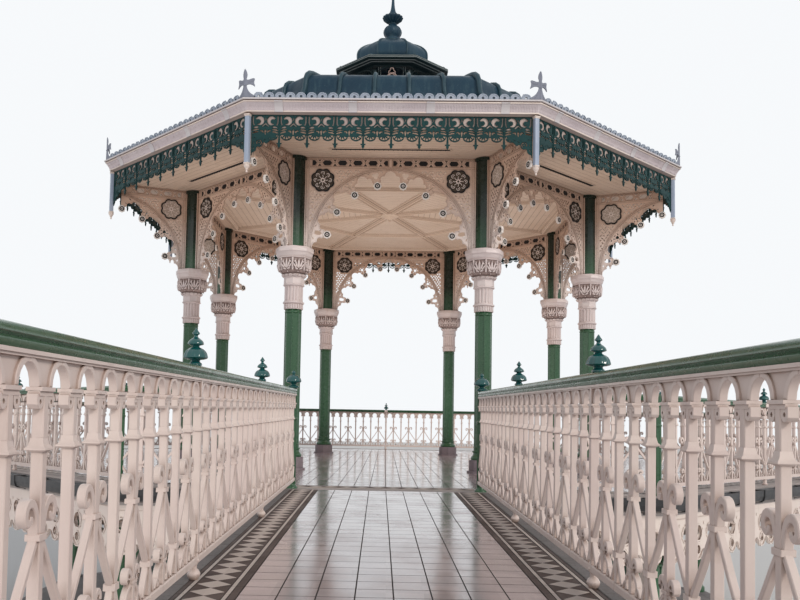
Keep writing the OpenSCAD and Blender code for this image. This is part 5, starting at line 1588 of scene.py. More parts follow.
def makeCornice():
    z = site["soffit"]
    cove = mitred(raised([(5.0, -0.003), (5.057, -0.003), (5.057, 0.176), (5.064, 0.19), (5.08, 0.204),
                       (5.103, 0.213), (5.126, 0.216), (5.126, 0.24), (5.0, 0.24)], z))
    piece("corniceCove", cove, "corniceShade", ["cornice"], smooth=50)
    line = mitred(raised([(5.12, 0.214), (5.136, 0.214), (5.139, 0.22), (5.136, 0.232), (5.12, 0.232)], z))
    piece("corniceLine", line, "rimCream", smooth=50)
    cyma = [(5.136, z + 0.232), (5.139, z + 0.238), (5.143, z + 0.252), (5.15, z + 0.27), (5.16, z + 0.288),
            (5.172, z + 0.304), (5.184, z + 0.318), (5.193, z + 0.33), (5.197, z + 0.339)]
    piece("corniceCyma", mitred(cyma + [(5.1, z + 0.339), (5.1, z + 0.232)]), "cymaPaint",
          smooth=50)
    reeds = bmesh.new()
    w = cornice["reed"] / 2
    reed = meshFrom(followed([(-w * 0.9, -0.001), (0, 0.0045), (w * 0.9, -0.001)], [cyma[i] for i in (1, 3, 5, 8)]))
    for k in range(8):
        count = int(2 * cyma[0][0] * halfSide / cornice["reed"])
        for i in range(count):
            addMesh(reeds, reed, onSide(k) @ move((i + 0.5 - count / 2) * cornice["reed"]) @ spinZ(90))
    piece("corniceReeds", reeds, "cymaPaint", smooth=0)
    fillet = mitred(raised([(5.15, 0.337), (5.206, 0.337), (5.212, 0.342), (5.212, 0.353),
                         (5.206, 0.358), (5.15, 0.358)], z))
    piece("corniceFillet", fillet, "rimCream", smooth=50)
    # painted shade: a dark strip in the groove under the top band
    piece("corniceGrooveShade", mitred(raised([(5.1, 0.35), (5.2, 0.356), (5.2, 0.372), (5.1, 0.372)], z)),
          "corniceGrooveShade", smooth=0)
    top = mitred(raised([(4.9, 0.3), (5.19, 0.362), (5.19, 0.367), (5.226, 0.368), (5.2305, 0.373),
                      (5.2305, 0.39), (5.0, 0.3905), (4.9, 0.3905)], z))
    piece("corniceBand", top, "corniceBoards", smooth=30)
    straps = bmesh.new()
    strap = ([(a + 0.006, h - 0.001) for a, h in cyma] + [(5.216, z + 0.338), (5.219, z + 0.345), (5.219, z + 0.352),
                                                        (5.214, z + 0.3555), (5.14, z + 0.3555), (5.1, z + 0.3),
                                                        (5.1, z + 0.236), (5.12, z + 0.212), (5.143, z + 0.212)])
    for k in range(8):
        for x in cornice["straps"]:
            addShape(straps, sweep(strap, cornice["strapW"]), onSide(k) @ move(x - cornice["strapW"] / 2))
    piece("corniceStraps", straps, "corniceBoards", smooth=30)


crest = {
    "bays": 26, "a": 5.191, "end": 0.13, "thick": 0.014, "high": 0.1,
}


def makeCrest():
    c = crest
    length = 2 * (c["a"] * halfSide - c["end"])
    p = length / c["bays"]
    r = p * 0.452
    bay = bmesh.new()
    top = c["high"] - p * 0.52
    edge = [(p / 2, 0), (p / 2, top - 0.01), (r + 0.004, top - 0.006)]
    outline = [(-p / 2, 0)] + edge + arc(0, top, r + 0.006, 0, 180, 8) + flipped(edge[1:])
    addMesh(bay, plate([outline, ring(0, top + 0.014, 0.02, 8)], c["thick"]))
    addMesh(bay, plate([stroke(arc(0, top, r, 4, 176, 7), 0.01)], c["thick"] + 0.006))
    addMesh(bay, plate([stroke(arc(0, top + 0.014, 0.0245, 0, 322, 7), 0.008)], c["thick"] + 0.004))
    addBar(bay, (p, c["thick"] + 0.006, 0.008), (0, 0, 0.004))
    addBar(bay, (p, c["thick"] + 0.004, 0.005), (0, 0, 0.026))
    mesh = meshFrom(bay)
    bm = bmesh.new()
    for k in range(8):
        place = onSide(k) @ move(0, c["a"], site["corniceTop"])
        for i in range(c["bays"]):
            addMesh(bm, mesh, place @ move((i + 0.5) * p - length / 2))
    piece("crestScallops", bm, "crestIron", ["crest"])
    half = [(0, 0.0), (0.125, 0.0), (0.124, 0.03), (0.114, 0.046), (0.098, 0.052), (0.084, 0.062), (0.066, 0.078),
            (0.048, 0.104), (0.034, 0.134), (0.026, 0.162), (0.022, 0.186), (0.026, 0.198), (0.044, 0.207),
            (0.066, 0.207), (0.09, 0.196), (0.117, 0.172), (0.114, 0.2), (0.106, 0.226), (0.106, 0.254),
            (0.113, 0.292), (0.096, 0.3), (0.072, 0.291), (0.048, 0.278), (0.028, 0.276), (0.02, 0.284),
            (0.021, 0.3), (0.027, 0.33), (0.028, 0.356), (0.023, 0.388), (0.013, 0.418), (0.0, 0.438)]
    crosses = bmesh.new()
    for k in range(8):
        at = onCorner(k) @ move(c["a"] * toCorner, 0, site["corniceTop"])
        for s in (-1, 1):
            place = at @ scaled(1, s) @ spinZ(112.5) @ scaled(1.3)
            addMesh(crosses, plate([half], c["thick"], 0.002), place)
            for line in ([(0.07, 0.022), (0.052, 0.052), (0.036, 0.088)],
                         [(0.034, 0.24), (0.07, 0.246), (0.096, 0.262)]):
                addMesh(crosses, plate([stroke(smoothLine(line, 3), 0.006)], c["thick"] + 0.006, 0.001), place)
        addTurned(crosses, [(0.0, 0.0), (0.012, 0.0), (0.012, 0.12), (0.009, 0.2), (0.009, 0.415), (0.0, 0.43)], 8,
            at)
        addTurned(crosses, [(0.011, 0.18), (0.017, 0.186), (0.017, 0.196), (0.011, 0.202)], 10, at)
    # the crosses take a darker copy of the crest's paint, which is painted shade
    piece("crestCrosses", crosses, "crossIronShade", ["corner_crosses"])


dropPost = {
    "wide": 0.07, "shaft": 0.745, "cup": 0.122, "length": 0.87,
}


def makeDropPosts():
    bm, caps = bmesh.new(), bmesh.new()
    w, tall = dropPost["wide"], dropPost["shaft"]
    z0 = site["valanceTop"] - dropPost["length"]
    for k in range(8):
        place = onCorner(k) @ move(site["fasciaA"] * toCorner + w / 2, 0, z0)
        post = bmesh.new()
        bmesh.ops.create_cube(post, size=1.0)
        bmesh.ops.scale(post, vec=(w, w, tall), verts=post.verts)
        bevelEdges(post, [e for e in post.edges if abs(e.verts[0].co.z - e.verts[1].co.z) > 0.5], 0.007)
        addShape(bm, post, place @ move(0, 0, dropPost["cup"] + tall / 2))
        addTurned(caps, [(0, 0.0), (0.01, 0.003), (0.015, 0.012), (0.014, 0.022), (0.01, 0.032), (0.013, 0.04),
            (0.024, 0.046), (0.024, 0.052), (0.02, 0.056), (0.026, 0.064), (0.036, 0.076), (0.041, 0.088),
            (0.046, 0.094), (0.046, 0.101), (0.041, 0.104), (0.041, 0.112), (0.048, 0.117), (0.048, 0.124),
            (0.04, 0.129), (0, 0.129)], 24, place)
        for z, high, grow in ((0.862, 0.016, 0.011), (0.846, 0.016, 0.005), (0.138, 0.016, 0.006)):
            addBar(caps, (w + 2 * grow, w + 2 * grow, high), (0, 0, z), place, 0.003)
    piece("dropShafts", bm, "dropPaint", ["drop_posts"])
    piece("dropCups", caps, "rimCream")


# ---- ceiling

ceiling = {
    "board": 0.115, "gap": 0.011, "slotA": 4.1705, "inner": 3.6, "outer": 5.0, "ribHigh": 0.055, "ribWide": 0.09,
}


def boards(start, end, z):
    # boards laid round the octagon, a groove between each two
    count = round((end - start) / ceiling["board"])
    step, gap = (end - start) / count, ceiling["gap"] / 2
    profile = []
    for i in range(count):
        a, b = start + i * step, start + (i + 1) * step
        profile += [(a + gap * 0.3, z + 0.007), (a + gap, z), (b - gap, z), (b - gap * 0.3, z + 0.007)]
    return mitred(profile + [(end, z + 0.012), (start, z + 0.012)])


def makeCeiling():
    z = site["soffit"]
    bm = boards(0.02, ceiling["inner"], z - 0.008)
    addShape(bm, boards(3.72, ceiling["slotA"] - 0.045, z - 0.008))
    addShape(bm, boards(ceiling["slotA"] + 0.045, ceiling["outer"], z - 0.008))
    piece("ceilingBoards", bm, "ceilingBoards", smooth=0)
    trim, vents = bmesh.new(), bmesh.new()
    for k in range(8):
        for a in (ceiling["slotA"] - 0.04, ceiling["slotA"] + 0.04):
            addBar(trim, (1.9, 0.022, 0.016), (0, a, z - 0.01), onSide(k), 0.003)
        for x in (-0.94, 0.94):
            addBar(trim, (0.022, 0.1, 0.016), (x, ceiling["slotA"], z - 0.01), onSide(k), 0.003)
        # painted shade: a dark strip and dark slats in each vent slot stand for the shadow inside it
        addBar(vents, (1.86, 0.062, 0.008), (0, ceiling["slotA"], z - 0.014), onSide(k))
        for i in range(24):
            addBar(vents, (0.01, 0.06, 0.01), (-0.86 + 1.72 / 23 * i, ceiling["slotA"], z - 0.019), onSide(k))
    addShape(trim, mitred(raised([(4.955, -0.004), (4.975, -0.018), (4.995, -0.026), (5.012, -0.04), (5.05, -0.04),
                           (5.054, 0.004)], z)))
    piece("ceilingTrim", trim, "ceilingBoards", smooth=40)
    piece("ceilingVents", vents, "darkRecess", smooth=0)
    w, h = ceiling["ribWide"] / 2, ceiling["ribHigh"]
    half = [(w, 0), (w, -0.02), (w - 0.004, -0.024), (w - 0.012, -0.026), (w - 0.016, -0.034), (0.02, -0.034),
            (0.018, -0.046), (0.012, -h + 0.003), (0.0, -h)]
    section = half + [(-y, v) for y, v in reversed(half[:-1])]
    ribs = bmesh.new()
    inner = site["columnA"] - 0.25
    reach = inner * toCorner - 0.09
    for k in range(8):
        addShape(ribs, sweep([(y, v + z) for y, v in section], reach - 0.1), onCorner(k) @ move(0.1))
        for s in (-1, 1):
            addShape(ribs, sweep([(y * 0.42 + s * 0.105, v * 0.5 + z) for y, v in section], reach - 0.3),
                     onCorner(k) @ move(0.28))
    for a in (0.55 * inner, inner - 0.045):
        addShape(ribs, mitred([(a + y, v + z) for y, v in section]))
        for s in (-1, 1):
            addShape(ribs, mitred([(a + s * 0.105 + y * 0.42, v * 0.5 + z) for y, v in section]))
    boss = [(0, -0.165), (0.018, -0.16), (0.026, -0.146), (0.02, -0.132), (0.03, -0.12), (0.052, -0.112),
            (0.075, -0.098), (0.09, -0.088), (0.11, -0.084), (0.118, -0.074), (0.13, -0.062), (0.16, -0.056),
            (0.185, -0.044), (0.19, -0.03), (0.196, -0.02), (0.196, 0.0)]
    fluted(ribs, boss, 12, 0.07, -0.125, -0.058, 48, move(0, 0, z))
    piece("ceilingRibWork", ribs, "ceilingBoards", ["ceiling_ribs"], smooth=35)


# ---- roof

roof = {
    "line": [(5.031, 0.39), (4.64, 0.515), (4.25, 0.665), (3.93, 0.815), (3.7, 0.95), (3.56, 1.07),
             (3.49, 1.19), (3.462, 1.31), (3.448, 1.4), (3.412, 1.475), (3.345, 1.53), (3.25, 1.562),
             (3.1, 1.59), (2.434, 1.675), (0.86, 1.795)],
    "bays": 5, "rollR": 0.033, "rollUp": 0.02, "hipR": 0.043, "hipUp": 0.026, "sheet": 0.045,
}


def rollSection(r, up):
    # a round roll on a narrower neck
    neck = [(-r * 0.75, -0.02), (-r * 0.7, up * 0.25)]
    return neck + arc(0, up, r, 205, -25, 8) + flipped(neck)


def makeDome():
    line = raised(roof["line"], site["soffit"])
    inner = [(a - 0.03, z - roof["sheet"]) for a, z in line[:-1]] + [(0.8, line[-1][1] - roof["sheet"]),
        (0.8, line[-1][1])]
    piece("domeSheets", mitred(line + inner[::-1]), "roofSheet", ["dome"], smooth=35)
    faces, hips, edges = bmesh.new(), bmesh.new(), bmesh.new()
    tail = [(line[0][0] + 0.024, line[0][1] - 0.004)] + line
    for k in range(8):
        for i in range(1, roof["bays"]):
            angle = math.atan((2 * i - roof["bays"]) * halfSide / roof["bays"])
            wide = 1 / math.cos(angle)
            own = [(x * wide, z) for x, z in tail]
            place = spinZ(45 * k + math.degrees(angle))
            addShape(faces, followed(rollSection(roof["rollR"], roof["rollUp"]), own, place))
        own = [(x * toCorner, z) for x, z in tail]
        addShape(hips, followed(rollSection(roof["hipR"], roof["hipUp"]), own, spinZ(45 * k + 22.5)))
    piece("domeRollsFace", faces, "rollSheet", ["dome_rolls"], smooth=50)
    piece("domeRollsHip", hips, "rollSheet", smooth=50)
    # the welts across each sheet and the drip at the eaves
    for a, h in [line[2], line[4], (3.175, site["soffit"] + 1.576), (1.95, site["soffit"] + 1.712)]:
        addShape(edges, mitred([(a + 0.016, h + 0.001), (a + 0.01, h + 0.012), (a - 0.004, h + 0.016),
                                (a - 0.02, h + 0.012), (a - 0.022, h + 0.004), (a, h - 0.012)]))
    z = site["soffit"]
    addShape(edges, mitred(raised([(5.02, 0.3905), (5.075, 0.3905), (5.078, 0.398), (5.05, 0.41),
                            (5.02, 0.412)], z)))
    piece("domeWelts", edges, "rollSheet", smooth=40)


lanternWork = {
    "z": 10.065, "high": 1.01, "a": 0.86, "post": 0.09, "roofZ": 10.835,
}


def trefoilRing(place, bm):
    # a looped ring over two crossing strands
    knots = []
    for i in range(32):
        a = math.radians(-90 + 360 * i / 32)
        r = 0.058 + 0.014 * math.cos(3 * (a - math.radians(90)))
        knots.append((r * math.cos(a), 0, r * math.sin(a)))
    addMesh(bm, tube(knots, 0.013, True, 1, place @ move(0, 0, 0.885)))
    for s in (-1, 1):
        line = smoothLine([(s * 0.26, s * 0.006, 0.52), (s * 0.17, s * 0.006, 0.66), (s * 0.085, s * 0.006, 0.775),
            (-s * 0.02, s * 0.006, 0.855), (-s * 0.085, s * 0.006, 0.8), (-s * 0.15, s * 0.006, 0.7)], 3)
        addMesh(bm, tube(line, 0.011, place=place))


def makeLantern():
    w = lanternWork
    z0, high, a = w["z"], w["high"], w["a"]
    frameWork, lights, reds, dark = bmesh.new(), bmesh.new(), bmesh.new(), bmesh.new()
    side = 2 * a * halfSide
    for low, top in ((z0, z0 + 0.12), (z0 + high - 0.03, z0 + high)):
        addShape(frameWork, mitred([(a - 0.08, low), (a - 0.01, low), (a - 0.003, low + 0.008),
            (a - 0.012, low + 0.014), (a - 0.012, top - 0.012), (a - 0.004, top - 0.008), (a, top),
            (a - 0.08, top)]))
    for k in range(8):
        place = onSide(k) @ move(0, a, z0)
        at = onCorner(k) @ move((a - 0.02) * toCorner - w["post"] / 2, 0, z0 + high / 2)
        addBar(frameWork, (w["post"] - 0.004, w["post"] - 0.004, high - 0.2), (0, 0, 0), at, 0.008)
        for s in (-1, 1):
            addTurned(frameWork, [(0.01, -high / 2 + 0.11), (0.01, high / 2 - 0.11)], 6,
                      at @ move(w["post"] / 2 - 0.004, s * 0.028))
        for s in (-1, 1):
            curve = [(s * 0.285, -0.03, high - 0.21), (s * 0.255, -0.03, high - 0.125),
                (s * 0.19, -0.03, high - 0.07), (s * 0.09, -0.03, high - 0.045), (0, -0.03, high - 0.038)]
            addMesh(frameWork, tube(curve, 0.011, place=place))
        if k % 2 == 0:
            trefoilRing(place @ move(0, -0.045), reds)
            for x in (-0.27, -0.225, 0.225, 0.27):
                addBar(lights, (0.007, 0.007, high - 0.14), (x, -0.075, 0.055 + high / 2), place)
        else:
            for i in range(-5, 6):
                addBar(frameWork, (0.014, 0.014, high - 0.14), (i * 0.05, -0.045, 0.055 + high / 2), place, 0.003)
            for z in (0.3, 0.47):
                addBar(frameWork, (side - 0.12, 0.02, 0.018), (0, -0.045, z), place, 0.003)
        for i in range(14):
            addBar(frameWork, (0.018, 0.01, 0.06), ((i - 6.5) * (side - 0.08) / 14, -0.009, 0.06), place, 0.003)
        addBar(lights, (side - 0.03, 0.008, 0.008), (0, -0.0075, 0.1), place)
    addTurned(dark, [(0.0, 0.0), (0.1, 0.0), (0.085, 0.03), (0.06, 0.06), (0.055, high - 0.02), (0.0, high - 0.02)],
        12, move(0, 0, z0))
    piece("lanternFrame", frameWork, "lanternPaint", ["lantern"], smooth=40)
    piece("lanternLights", lights, "lanternLine", smooth=30)
    piece("lanternRings", reds, "lanternRose", smooth=60)
    piece("lanternShaft", dark, "lanternPaint", smooth=40)


def makeLanternRoof():
    z = lanternWork["roofZ"]
    body = mitred(raised([(0.7, 0.225), (0.862, 0.225), (0.9, 0.23), (0.96, 0.232), (0.962, 0.24),
                   (1.04, 0.242), (1.042, 0.25), (1.118, 0.252), (1.128, 0.258), (1.134, 0.268),
                   (1.134, 0.304), (1.128, 0.316), (1.092, 0.334), (1.072, 0.345), (1.01, 0.362),
                   (0.9, 0.394), (0.8, 0.428), (0.764, 0.446), (0.7, 0.47), (0.6, 0.478)], z))
    piece("lanternEaves", body, "lanternPaint", ["lantern_roof"], smooth=35)
    cap = bmesh.new()
    line = smoothLine([(0.655, 0.478), (0.67, 0.5), (0.694, 0.535), (0.708, 0.58), (0.712, 0.64), (0.708, 0.7),
                       (0.69, 0.755), (0.652, 0.81), (0.592, 0.865), (0.51, 0.915), (0.41, 0.96), (0.29, 1.01),
                       (0.17, 1.07)], 2)
    addShape(cap, mitred([(a, z + h) for a, h in line] + [(0.1, z + 1.083), (0.1, z + 0.478)]))
    piece("lanternCap", cap, "roofSheet", smooth=35)
    trims, lights = bmesh.new(), bmesh.new()
    hip = [(a * toCorner, z + h) for a, h in line]
    for k in range(8):
        addShape(trims, followed(rollSection(0.013, 0.007), hip, spinZ(45 * k + 22.5)))
        addShape(trims, followed(rollSection(0.014, 0.008), [(1.06 * toCorner, z + 0.35),
            (0.9 * toCorner, z + 0.395), (0.79 * toCorner, z + 0.432)], spinZ(45 * k + 22.5)))
    for a, low, high, out in ((1.134, 0.27, 0.277, 0.003), (1.134, 0.297, 0.303, 0.003), (0.7, 0.462, 0.482, 0.004),
                              (1.066, 0.24, 0.246, 0.003), (0.99, 0.232, 0.237, 0.003)):
        addShape(lights, mitred([(a - 0.02, z + low), (a + out, z + low), (a + out, z + high),
            (a - 0.02, z + high)]))
    piece("lanternRoofRolls", trims, "rollSheet", smooth=50)
    piece("lanternRoofLines", lights, "lanternLine", smooth=30)


finial = {
    "z": 11.92, "ribs": 16, "ribR": 0.0055, "ringR": 0.008,
}


def makeFinial():
    z = finial["z"]
    bm, ribs = bmesh.new(), bmesh.new()
    low = [(0, -0.02), (0.152, -0.02), (0.158, 0.01), (0.15, 0.04), (0.135, 0.065), (0.14, 0.085), (0.165, 0.115),
           (0.186, 0.155), (0.194, 0.2), (0.188, 0.245), (0.166, 0.285), (0.134, 0.314), (0.104, 0.336),
           (0.082, 0.352), (0.072, 0.364), (0.078, 0.376), (0.078, 0.386), (0.074, 0.392)]
    high = [(0.052, 0.388), (0.078, 0.4), (0.112, 0.42), (0.152, 0.447), (0.186, 0.474), (0.205, 0.5),
            (0.208, 0.515), (0.2, 0.527), (0.172, 0.54), (0.135, 0.556), (0.105, 0.575), (0.084, 0.6),
            (0.066, 0.635), (0.051, 0.68), (0.041, 0.73), (0.034, 0.79), (0.029, 0.86), (0.026, 0.93), (0.024, 0.99),
            (0.03, 1.0), (0.044, 1.012), (0.045, 1.022), (0.036, 1.034), (0.022, 1.05), (0.017, 1.09),
            (0.014, 1.18), (0.011, 1.3), (0.008, 1.4), (0.005, 1.44), (0, 1.45)]
    fluted(bm, low, 12, 0.07, 0.04, 0.368, 48, move(0, 0, z))
    fluted(bm, high, 16, 0.1, 0.392, 0.57, 64, move(0, 0, z))
    piece("finialBulbs", bm, "roofSheet", ["finial"], smooth=50)
    for i in range(finial["ribs"]):
        a = math.radians(360 / finial["ribs"] * i)
        line = [(r * math.cos(a), r * math.sin(a), z + h) for r, h in
                ((0.081, 0.399), (0.115, 0.418), (0.155, 0.445), (0.189, 0.472), (0.2085, 0.499), (0.2115, 0.515),
                 (0.203, 0.529), (0.174, 0.543), (0.137, 0.559))]
        addMesh(ribs, tube(line, finial["ribR"]))
    for r, h in ((0.08, 0.376), (0.096, 0.584), (0.043, 1.016), (0.156, 0.012)):
        addMesh(ribs, tube([(x, y, z + h) for x, y in ring(0, 0, r, 24)], finial["ringR"], True))
    piece("finialRibs", ribs, "rollSheet", smooth=60)


# ---- the storey below the deck

lower = {
    "foot": 0.16, "top": 2.98, "wallA": 4.9, "springZ": 1.76, "archZ": 1.16, "frameA": 4.75,
    "postA": 7.385, "postR": 0.075, "beamZ": 2.72, "quoins": 7,
}


def doorLine(x, r, angle):
    # up one jamb, round the arch and down the other jamb
    jamb = [(x, lower["foot"]), (x, lower["springZ"])]
    return jamb + arc(0, lower["archZ"], r, angle, 180 - angle, 20) + flipped(jamb)


def makeWallTrim():
    # quoins, skirting, cornice and the mouldings round each doorway
    bm = bmesh.new()
    a, foot = lower["wallA"], lower["foot"]
    side = (a + 0.03) * halfSide
    step = 2.625 / lower["quoins"]
    surround = bmesh.new()
    addMesh(surround, plate([stroke(doorLine(1.075, 1.236, 29.5), 0.15)], 0.06, 0.006), move(0, a))
    addMesh(surround, plate([stroke(doorLine(1.165, 1.312, 27.5), 0.032)], 0.1, 0.006), move(0, a))
    addMesh(surround, plate([[(-0.085, 2.3), (0.085, 2.3), (0.125, 2.6), (-0.125, 2.6)]], 0.15, 0.01),
        move(0, a - 0.01))
    for s in (-1, 1):
        addBar(surround, (0.21, 0.13, 0.2), (s * 1.09, a - 0.005, foot + 0.1), bevel=0.008)
        addBar(surround, (0.2, 0.13, 0.07), (s * 1.09, a - 0.005, lower["springZ"] + 0.005), bevel=0.008)
        addBar(surround, (side - 0.34 - 1.2, 0.1, 0.22), (s * (side + 0.86) / 2, a - 0.02, foot + 0.11), bevel=0.008)
    surround = meshFrom(surround)
    for k in range(8):
        place = onSide(k)
        addMesh(bm, surround, place)
        for s in (-1, 1):
            for i in range(lower["quoins"]):
                wide = 0.34 if i % 2 else 0.25
                addBar(bm, (wide, 0.07, step - 0.012), (s * (side - wide / 2), a - 0.005, foot + (i + 0.5) * step),
                    place, 0.008)
    top = lower["top"]
    addShape(bm, mitred([(a - 0.02, top - 0.195), (a + 0.034, top - 0.195), (a + 0.04, top - 0.17),
        (a + 0.055, top - 0.15), (a + 0.06, top - 0.105), (a + 0.085, top - 0.08), (a + 0.095, top - 0.04),
        (a + 0.095, top), (a - 0.02, top)]))
    piece("wallTrim", bm, "rimCream", smooth=35)


def makeJoinery():
    # panels, glazing bars and handles of the doors, and the spokes of the fanlights
    half = bmesh.new()
    foot, spring = lower["foot"], lower["springZ"]
    wide, x = 0.895, 0.4825
    for w, deep, high, bevel in ((wide, 0.034, 0.49, 0.003), (0.74, 0.056, 0.34, 0.014), (0.66, 0.062, 0.26, 0.004)):
        addBar(half, (w, deep, high), (x, 0, foot + 0.315), bevel=bevel)
    for i in (1, 2):
        addBar(half, (0.022, 0.04, 0.9), (0.035 + wide * i / 3, 0, foot + 1.08), bevel=0.004)
        addBar(half, (wide, 0.04, 0.022), (x, 0, foot + 0.63 + 0.3 * i), bevel=0.004)
    for angle in (30, 60):
        a = math.radians(angle)
        far = 0.93 if angle == 30 else 0.62
        middle = (0.28 + far) / 2
        addBar(half, (far - 0.28, 0.04, 0.022), (0, 0, 0), move(middle * math.cos(a), 0,
            spring + middle * math.sin(a)) @ Matrix.Rotation(-a, 4, "Y"), 0.004)
    addMesh(half, plate([stroke(arc(0, spring, 0.28, 0, 90, 10), 0.026)], 0.044, 0.004))
    addMesh(half, plate([stroke(arc(0, spring, 0.1, 0, 90, 6), 0.02)], 0.044, 0.004))
    addBar(half, (0.016, 0.05, 1.5), (0.03, 0, foot + 0.82), bevel=0.003)
    addTurned(half, [(0, 0.07), (0.016, 0.068), (0.02, 0.058), (0.012, 0.046), (0.01, 0.036), (0.024, 0.03),
        (0.024, 0.02)], 12, move(0.055, 0, foot + 1.0) @ spin(-90, "X"))
    mesh = meshFrom(half)
    flip = scaled(-1)
    places = [onSide(k) @ move(0, lower["frameA"]) @ m for k in range(8) for m in (Matrix(), flip)]
    piece("doorJoinery", repeated(mesh, places), "greenJoinery", smooth=35)


def makeVerandah():
    # rings and leaf cups on the posts, and a light scrolled brace each way to the beam
    r, h = lower["postR"], lower["beamZ"] - lower["foot"]
    posts, braces = bmesh.new(), bmesh.new()
    profile = [(r, 0.285), (1.16 * r, 0.292), (1.26 * r, 0.305), (1.26 * r, 0.32), (1.12 * r, 0.33), (r, 0.345)]
    rings = [[(1.96 * r, 0.012), (2.05 * r, 0.02), (2.05 * r, 0.085), (1.96 * r, 0.095)],
        [(1.25 * r, h - 0.318), (1.38 * r, h - 0.312), (1.44 * r, h - 0.3), (1.38 * r, h - 0.288),
        (1.25 * r, h - 0.282)], [(1.85 * r, h - 0.048), (1.98 * r, h - 0.044), (2.02 * r, h - 0.026),
        (1.98 * r, h - 0.01), (1.85 * r, h - 0.004)]]
    brace = bmesh.new()
    addMesh(brace, plate([stroke(arc(0.52, -0.5, 0.44, 180, 92, 12), 0.024)], 0.028, 0.004))
    addMesh(brace, plate([ring(0.15, -0.13, 0.078, 16), ring(0.15, -0.13, 0.056, 16)], 0.026, 0.003))
    addMesh(brace, plate([lobed(0.15, -0.13, 0.036, 4, 0.4, 5)], 0.022, 0.002))
    for x, z, w, d in ((0.008, -0.27, 0.016, 0.5), (0.27, -0.008, 0.5, 0.016)):
        addBar(brace, (w, 0.032, d), (x, 0, z), bevel=0.003)
    addMesh(brace, plate([stroke(arc(0.052, -0.245, 0.03, -60, 200, 9), 0.011)], 0.022, 0.002))
    addMesh(brace, plate([stroke(arc(0.262, -0.048, 0.028, -110, 150, 9), 0.011)], 0.022, 0.002))
    brace = meshFrom(brace)
    for k in range(8):
        place = onCorner(k) @ move(lower["postA"] * toCorner, 0, lower["foot"])
        for line in [profile] + rings:
            addTurned(posts, line, 28, place)
        for i in range(8):
            addMesh(posts, plate([[(-0.022, 0), (0.022, 0), (0.03, 0.07), (0.014, 0.098), (-0.014, 0.098),
                (-0.03, 0.07)]], 0.014, 0.004), place @ spinZ(45 * i) @ move(0, 1.38 * r, h - 0.158) @ spin(-16,
                "X"))
        x = lower["postA"] * halfSide
        for s in (-1, 1):
            addMesh(braces, brace, onSide(k) @ move(0, lower["postA"], lower["beamZ"]) @ scaled(s)
                    @ move(-x + r))
    piece("postRings", posts, "greenIron", smooth=40)
    piece("postBraces", braces, "greenIron", smooth=35)


fringe = {
    "side": 3.129, "bays": 20, "bridgeBays": 6, "below": 0.22, "deep": 0.56,
}


def makeFringe():
    # raised rims round the openings of the pierced board, a bead along its lobes and two fillets above
    side, top = fringe["side"], site["deck"] - fringe["below"]
    front = site["bridgeHalf"] + site["bridgeLip"]
    p = 2 * side / fringe["bays"]
    body = fringe["deep"] - 0.4 * p
    bay = bmesh.new()
    for z, r in ((top - 0.55 * body, 0.3 * p), (top - body, 0.17 * p)):
        addMesh(bay, plate([ring(0, z, r + 0.012, 14), ring(0, z, r - 0.001, 14)], 0.038))
    addMesh(bay, plate([stroke(arc(0, top - body, 0.4 * p - 0.008, 0, -180, 8), 0.014)], 0.036))
    addMesh(bay, plate([lobed(p / 2, top - 0.3 * body, 0.02, 4, 0.4, 4)], 0.036))
    bay = meshFrom(bay)
    bm = bmesh.new()
    for k in range(8):
        beside = fringe["bridgeBays"]
        runs = ((-side, -front, beside), (front, side, beside)) if k == 6 else ((-side, side, fringe["bays"]),)
        for a, b, count in runs:
            for i in range(count):
                addMesh(bm, bay, onSide(k) @ move(a + (i + 0.5) * (b - a) / count, site["edgeA"] - 0.012))
            for z, high in ((top - 0.014, 0.028), (top - 0.052, 0.012)):
                addBar(bm, (b - a, 0.044, high), ((a + b) / 2, site["edgeA"] - 0.012, z), onSide(k))
    piece("fringeRims", bm, "rimCream", smooth=35)


deckEdge = {
    "strapW": 0.034, "strapX": (-2.9, -2.15, -1.4, 1.4, 2.15, 2.9), "strapPitch": 0.725,
    "slabX": 3.02, "bridgeX": 1.25, "slabLong": 0.6, "slabA": 7.44, "kerbLong": 0.75, "kerbA": 7.45, "joint": 0.008,
}


def makeDeckEdge():
    # straps under the gutter, stone slabs on the coping and on the plinth
    e, z = deckEdge, site["deck"]
    far, near = e["slabX"], e["bridgeX"]
    strap = [(7.572, z - 0.016), (7.572, z - 0.215), (7.59, z - 0.2), (7.63, z - 0.188), (7.69, z - 0.18),
             (7.722, z - 0.16), (7.739, z - 0.11), (7.739, z - 0.016)]
    straps, slabs, kerb = bmesh.new(), bmesh.new(), bmesh.new()
    for k in range(8):
        spots = e["strapX"] if k == 6 else [e["strapX"][0] + e["strapPitch"] * i for i in range(9)]
        for x in spots:
            addShape(straps, sweep(strap, e["strapW"]), onSide(k) @ move(x - e["strapW"] / 2))
        for x0, x1 in ([(-far, -near), (near, far)] if k == 6 else [(-far, far)]):
            count = round((x1 - x0) / e["slabLong"])
            step = (x1 - x0) / count
            for i in range(count):
                addBar(slabs, (step - e["joint"], 0.286, 0.016), (x0 + (i + 0.5) * step, e["slabA"], z - 0.004),
                       onSide(k), 0.003)
        for i in range(8):
            addBar(kerb, (e["kerbLong"] - e["joint"], 0.25, 0.075), ((i - 3.5) * e["kerbLong"], e["kerbA"], 0.1265),
                   onSide(k), 0.006)
    piece("gutterStraps", straps, "blackGutter", smooth=30)
    piece("copingSlabs", slabs, "copingStone", smooth=0)
    piece("plinthKerb", kerb, "plinthStone", smooth=0)


bridgeWork = {
    "slab": 0.12, "girder": 0.33, "flange": 0.06, "rivets": 0.16, "first": 0.25, "over": 0.15,
    "courses": 9, "pierHigh": 2.555, "pierDeep": 0.512, "joint": 0.008,
    "cuts": ([-1.251, -0.93, -0.31, 0.31, 0.93, 1.251], [-1.251, -0.62, 0.0, 0.62, 1.251]),
}


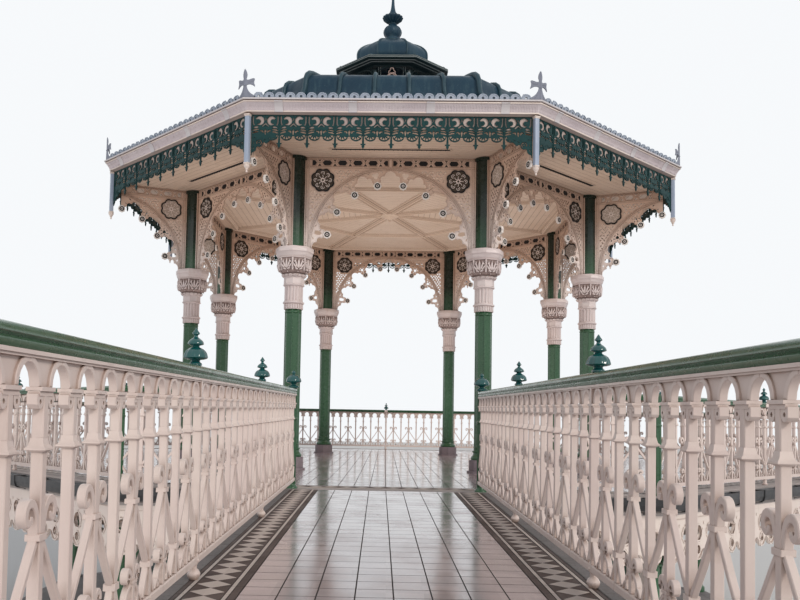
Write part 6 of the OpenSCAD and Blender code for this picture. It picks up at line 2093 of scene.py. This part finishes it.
def makeBridgeWork():
    # rivets and long strips on the girders, and the coursed blocks of the pier
    bm, blocks = bmesh.new(), bmesh.new()
    w, half = bridgeWork, site["bridgeHalf"]
    long = site["panel"] * site["panels"] + w["over"]
    rivet = bmesh.new()
    addTurned(rivet, [(0.011, -0.002), (0.01, 0.004), (0.005, 0.008), (0, 0.009)], 6)
    rivet = meshFrom(rivet)
    bottom = -w["slab"] - w["girder"]
    count = int((long - 0.3) / w["rivets"])
    for s in (-1, 1):
        for side in (-1, 1):
            for i in range(count):
                x, y = s * half + side * w["flange"], -w["first"] - i * w["rivets"]
                addMesh(bm, rivet, onBridge @ move(x, y, bottom + 0.024))
                addMesh(bm, rivet, onBridge @ move(x, y, bottom) @ spin(180, "X"))
            for z in (bottom + 0.036, -w["slab"] - 0.036):
                addBar(bm, (0.03, long - 0.24, 0.026), (s * half + side * 0.024, -(long + 0.2) / 2, z), onBridge,
                    0.004)
    piece("girderRivets", bm, "creamIron", smooth=40)
    at = move(0, -site["deckA"]) @ spinZ(site["skew"]) @ move(0, -long + w["first"])
    high, joint = w["pierHigh"] / w["courses"], w["joint"]
    for i in range(w["courses"]):
        cuts = w["cuts"][i % 2]
        for a, b in zip(cuts, cuts[1:]):
            addBar(blocks, (b - a - joint, w["pierDeep"], high - joint), ((a + b) / 2, 0, (i + 0.5) * high), at,
                0.01)
    piece("pierBlocks", blocks, "plinthStone", smooth=0)


# ---- build

print("finishes")
makePaints()
otherFinishes()
shaftFinish()
for name, tints in roofTints.items():
    roofFinish(name, tints)
finishNodes()
print("camera and light")
makeCamera()
makeLight()
print("floors")
bridgeTiling()
bridgeKerbs()
deckTiling()
print("balustrades")
makeBalustrades()
makeHandrails()
makeRailFinials()
makeNewels()
print("fretwork")
makeFretwork()
print("columns")
makeCapitals()
makeColumnTrim()
print("eaves")
makeValance()
makeCornice()
makeCrest()
makeDropPosts()
print("ceiling")
makeCeiling()
print("roof")
makeDome()
makeLantern()
makeLanternRoof()
makeFinial()
print("storey below the deck")
makeWallTrim()
makeJoinery()
makeVerandah()
makeFringe()
makeDeckEdge()
makeBridgeWork()
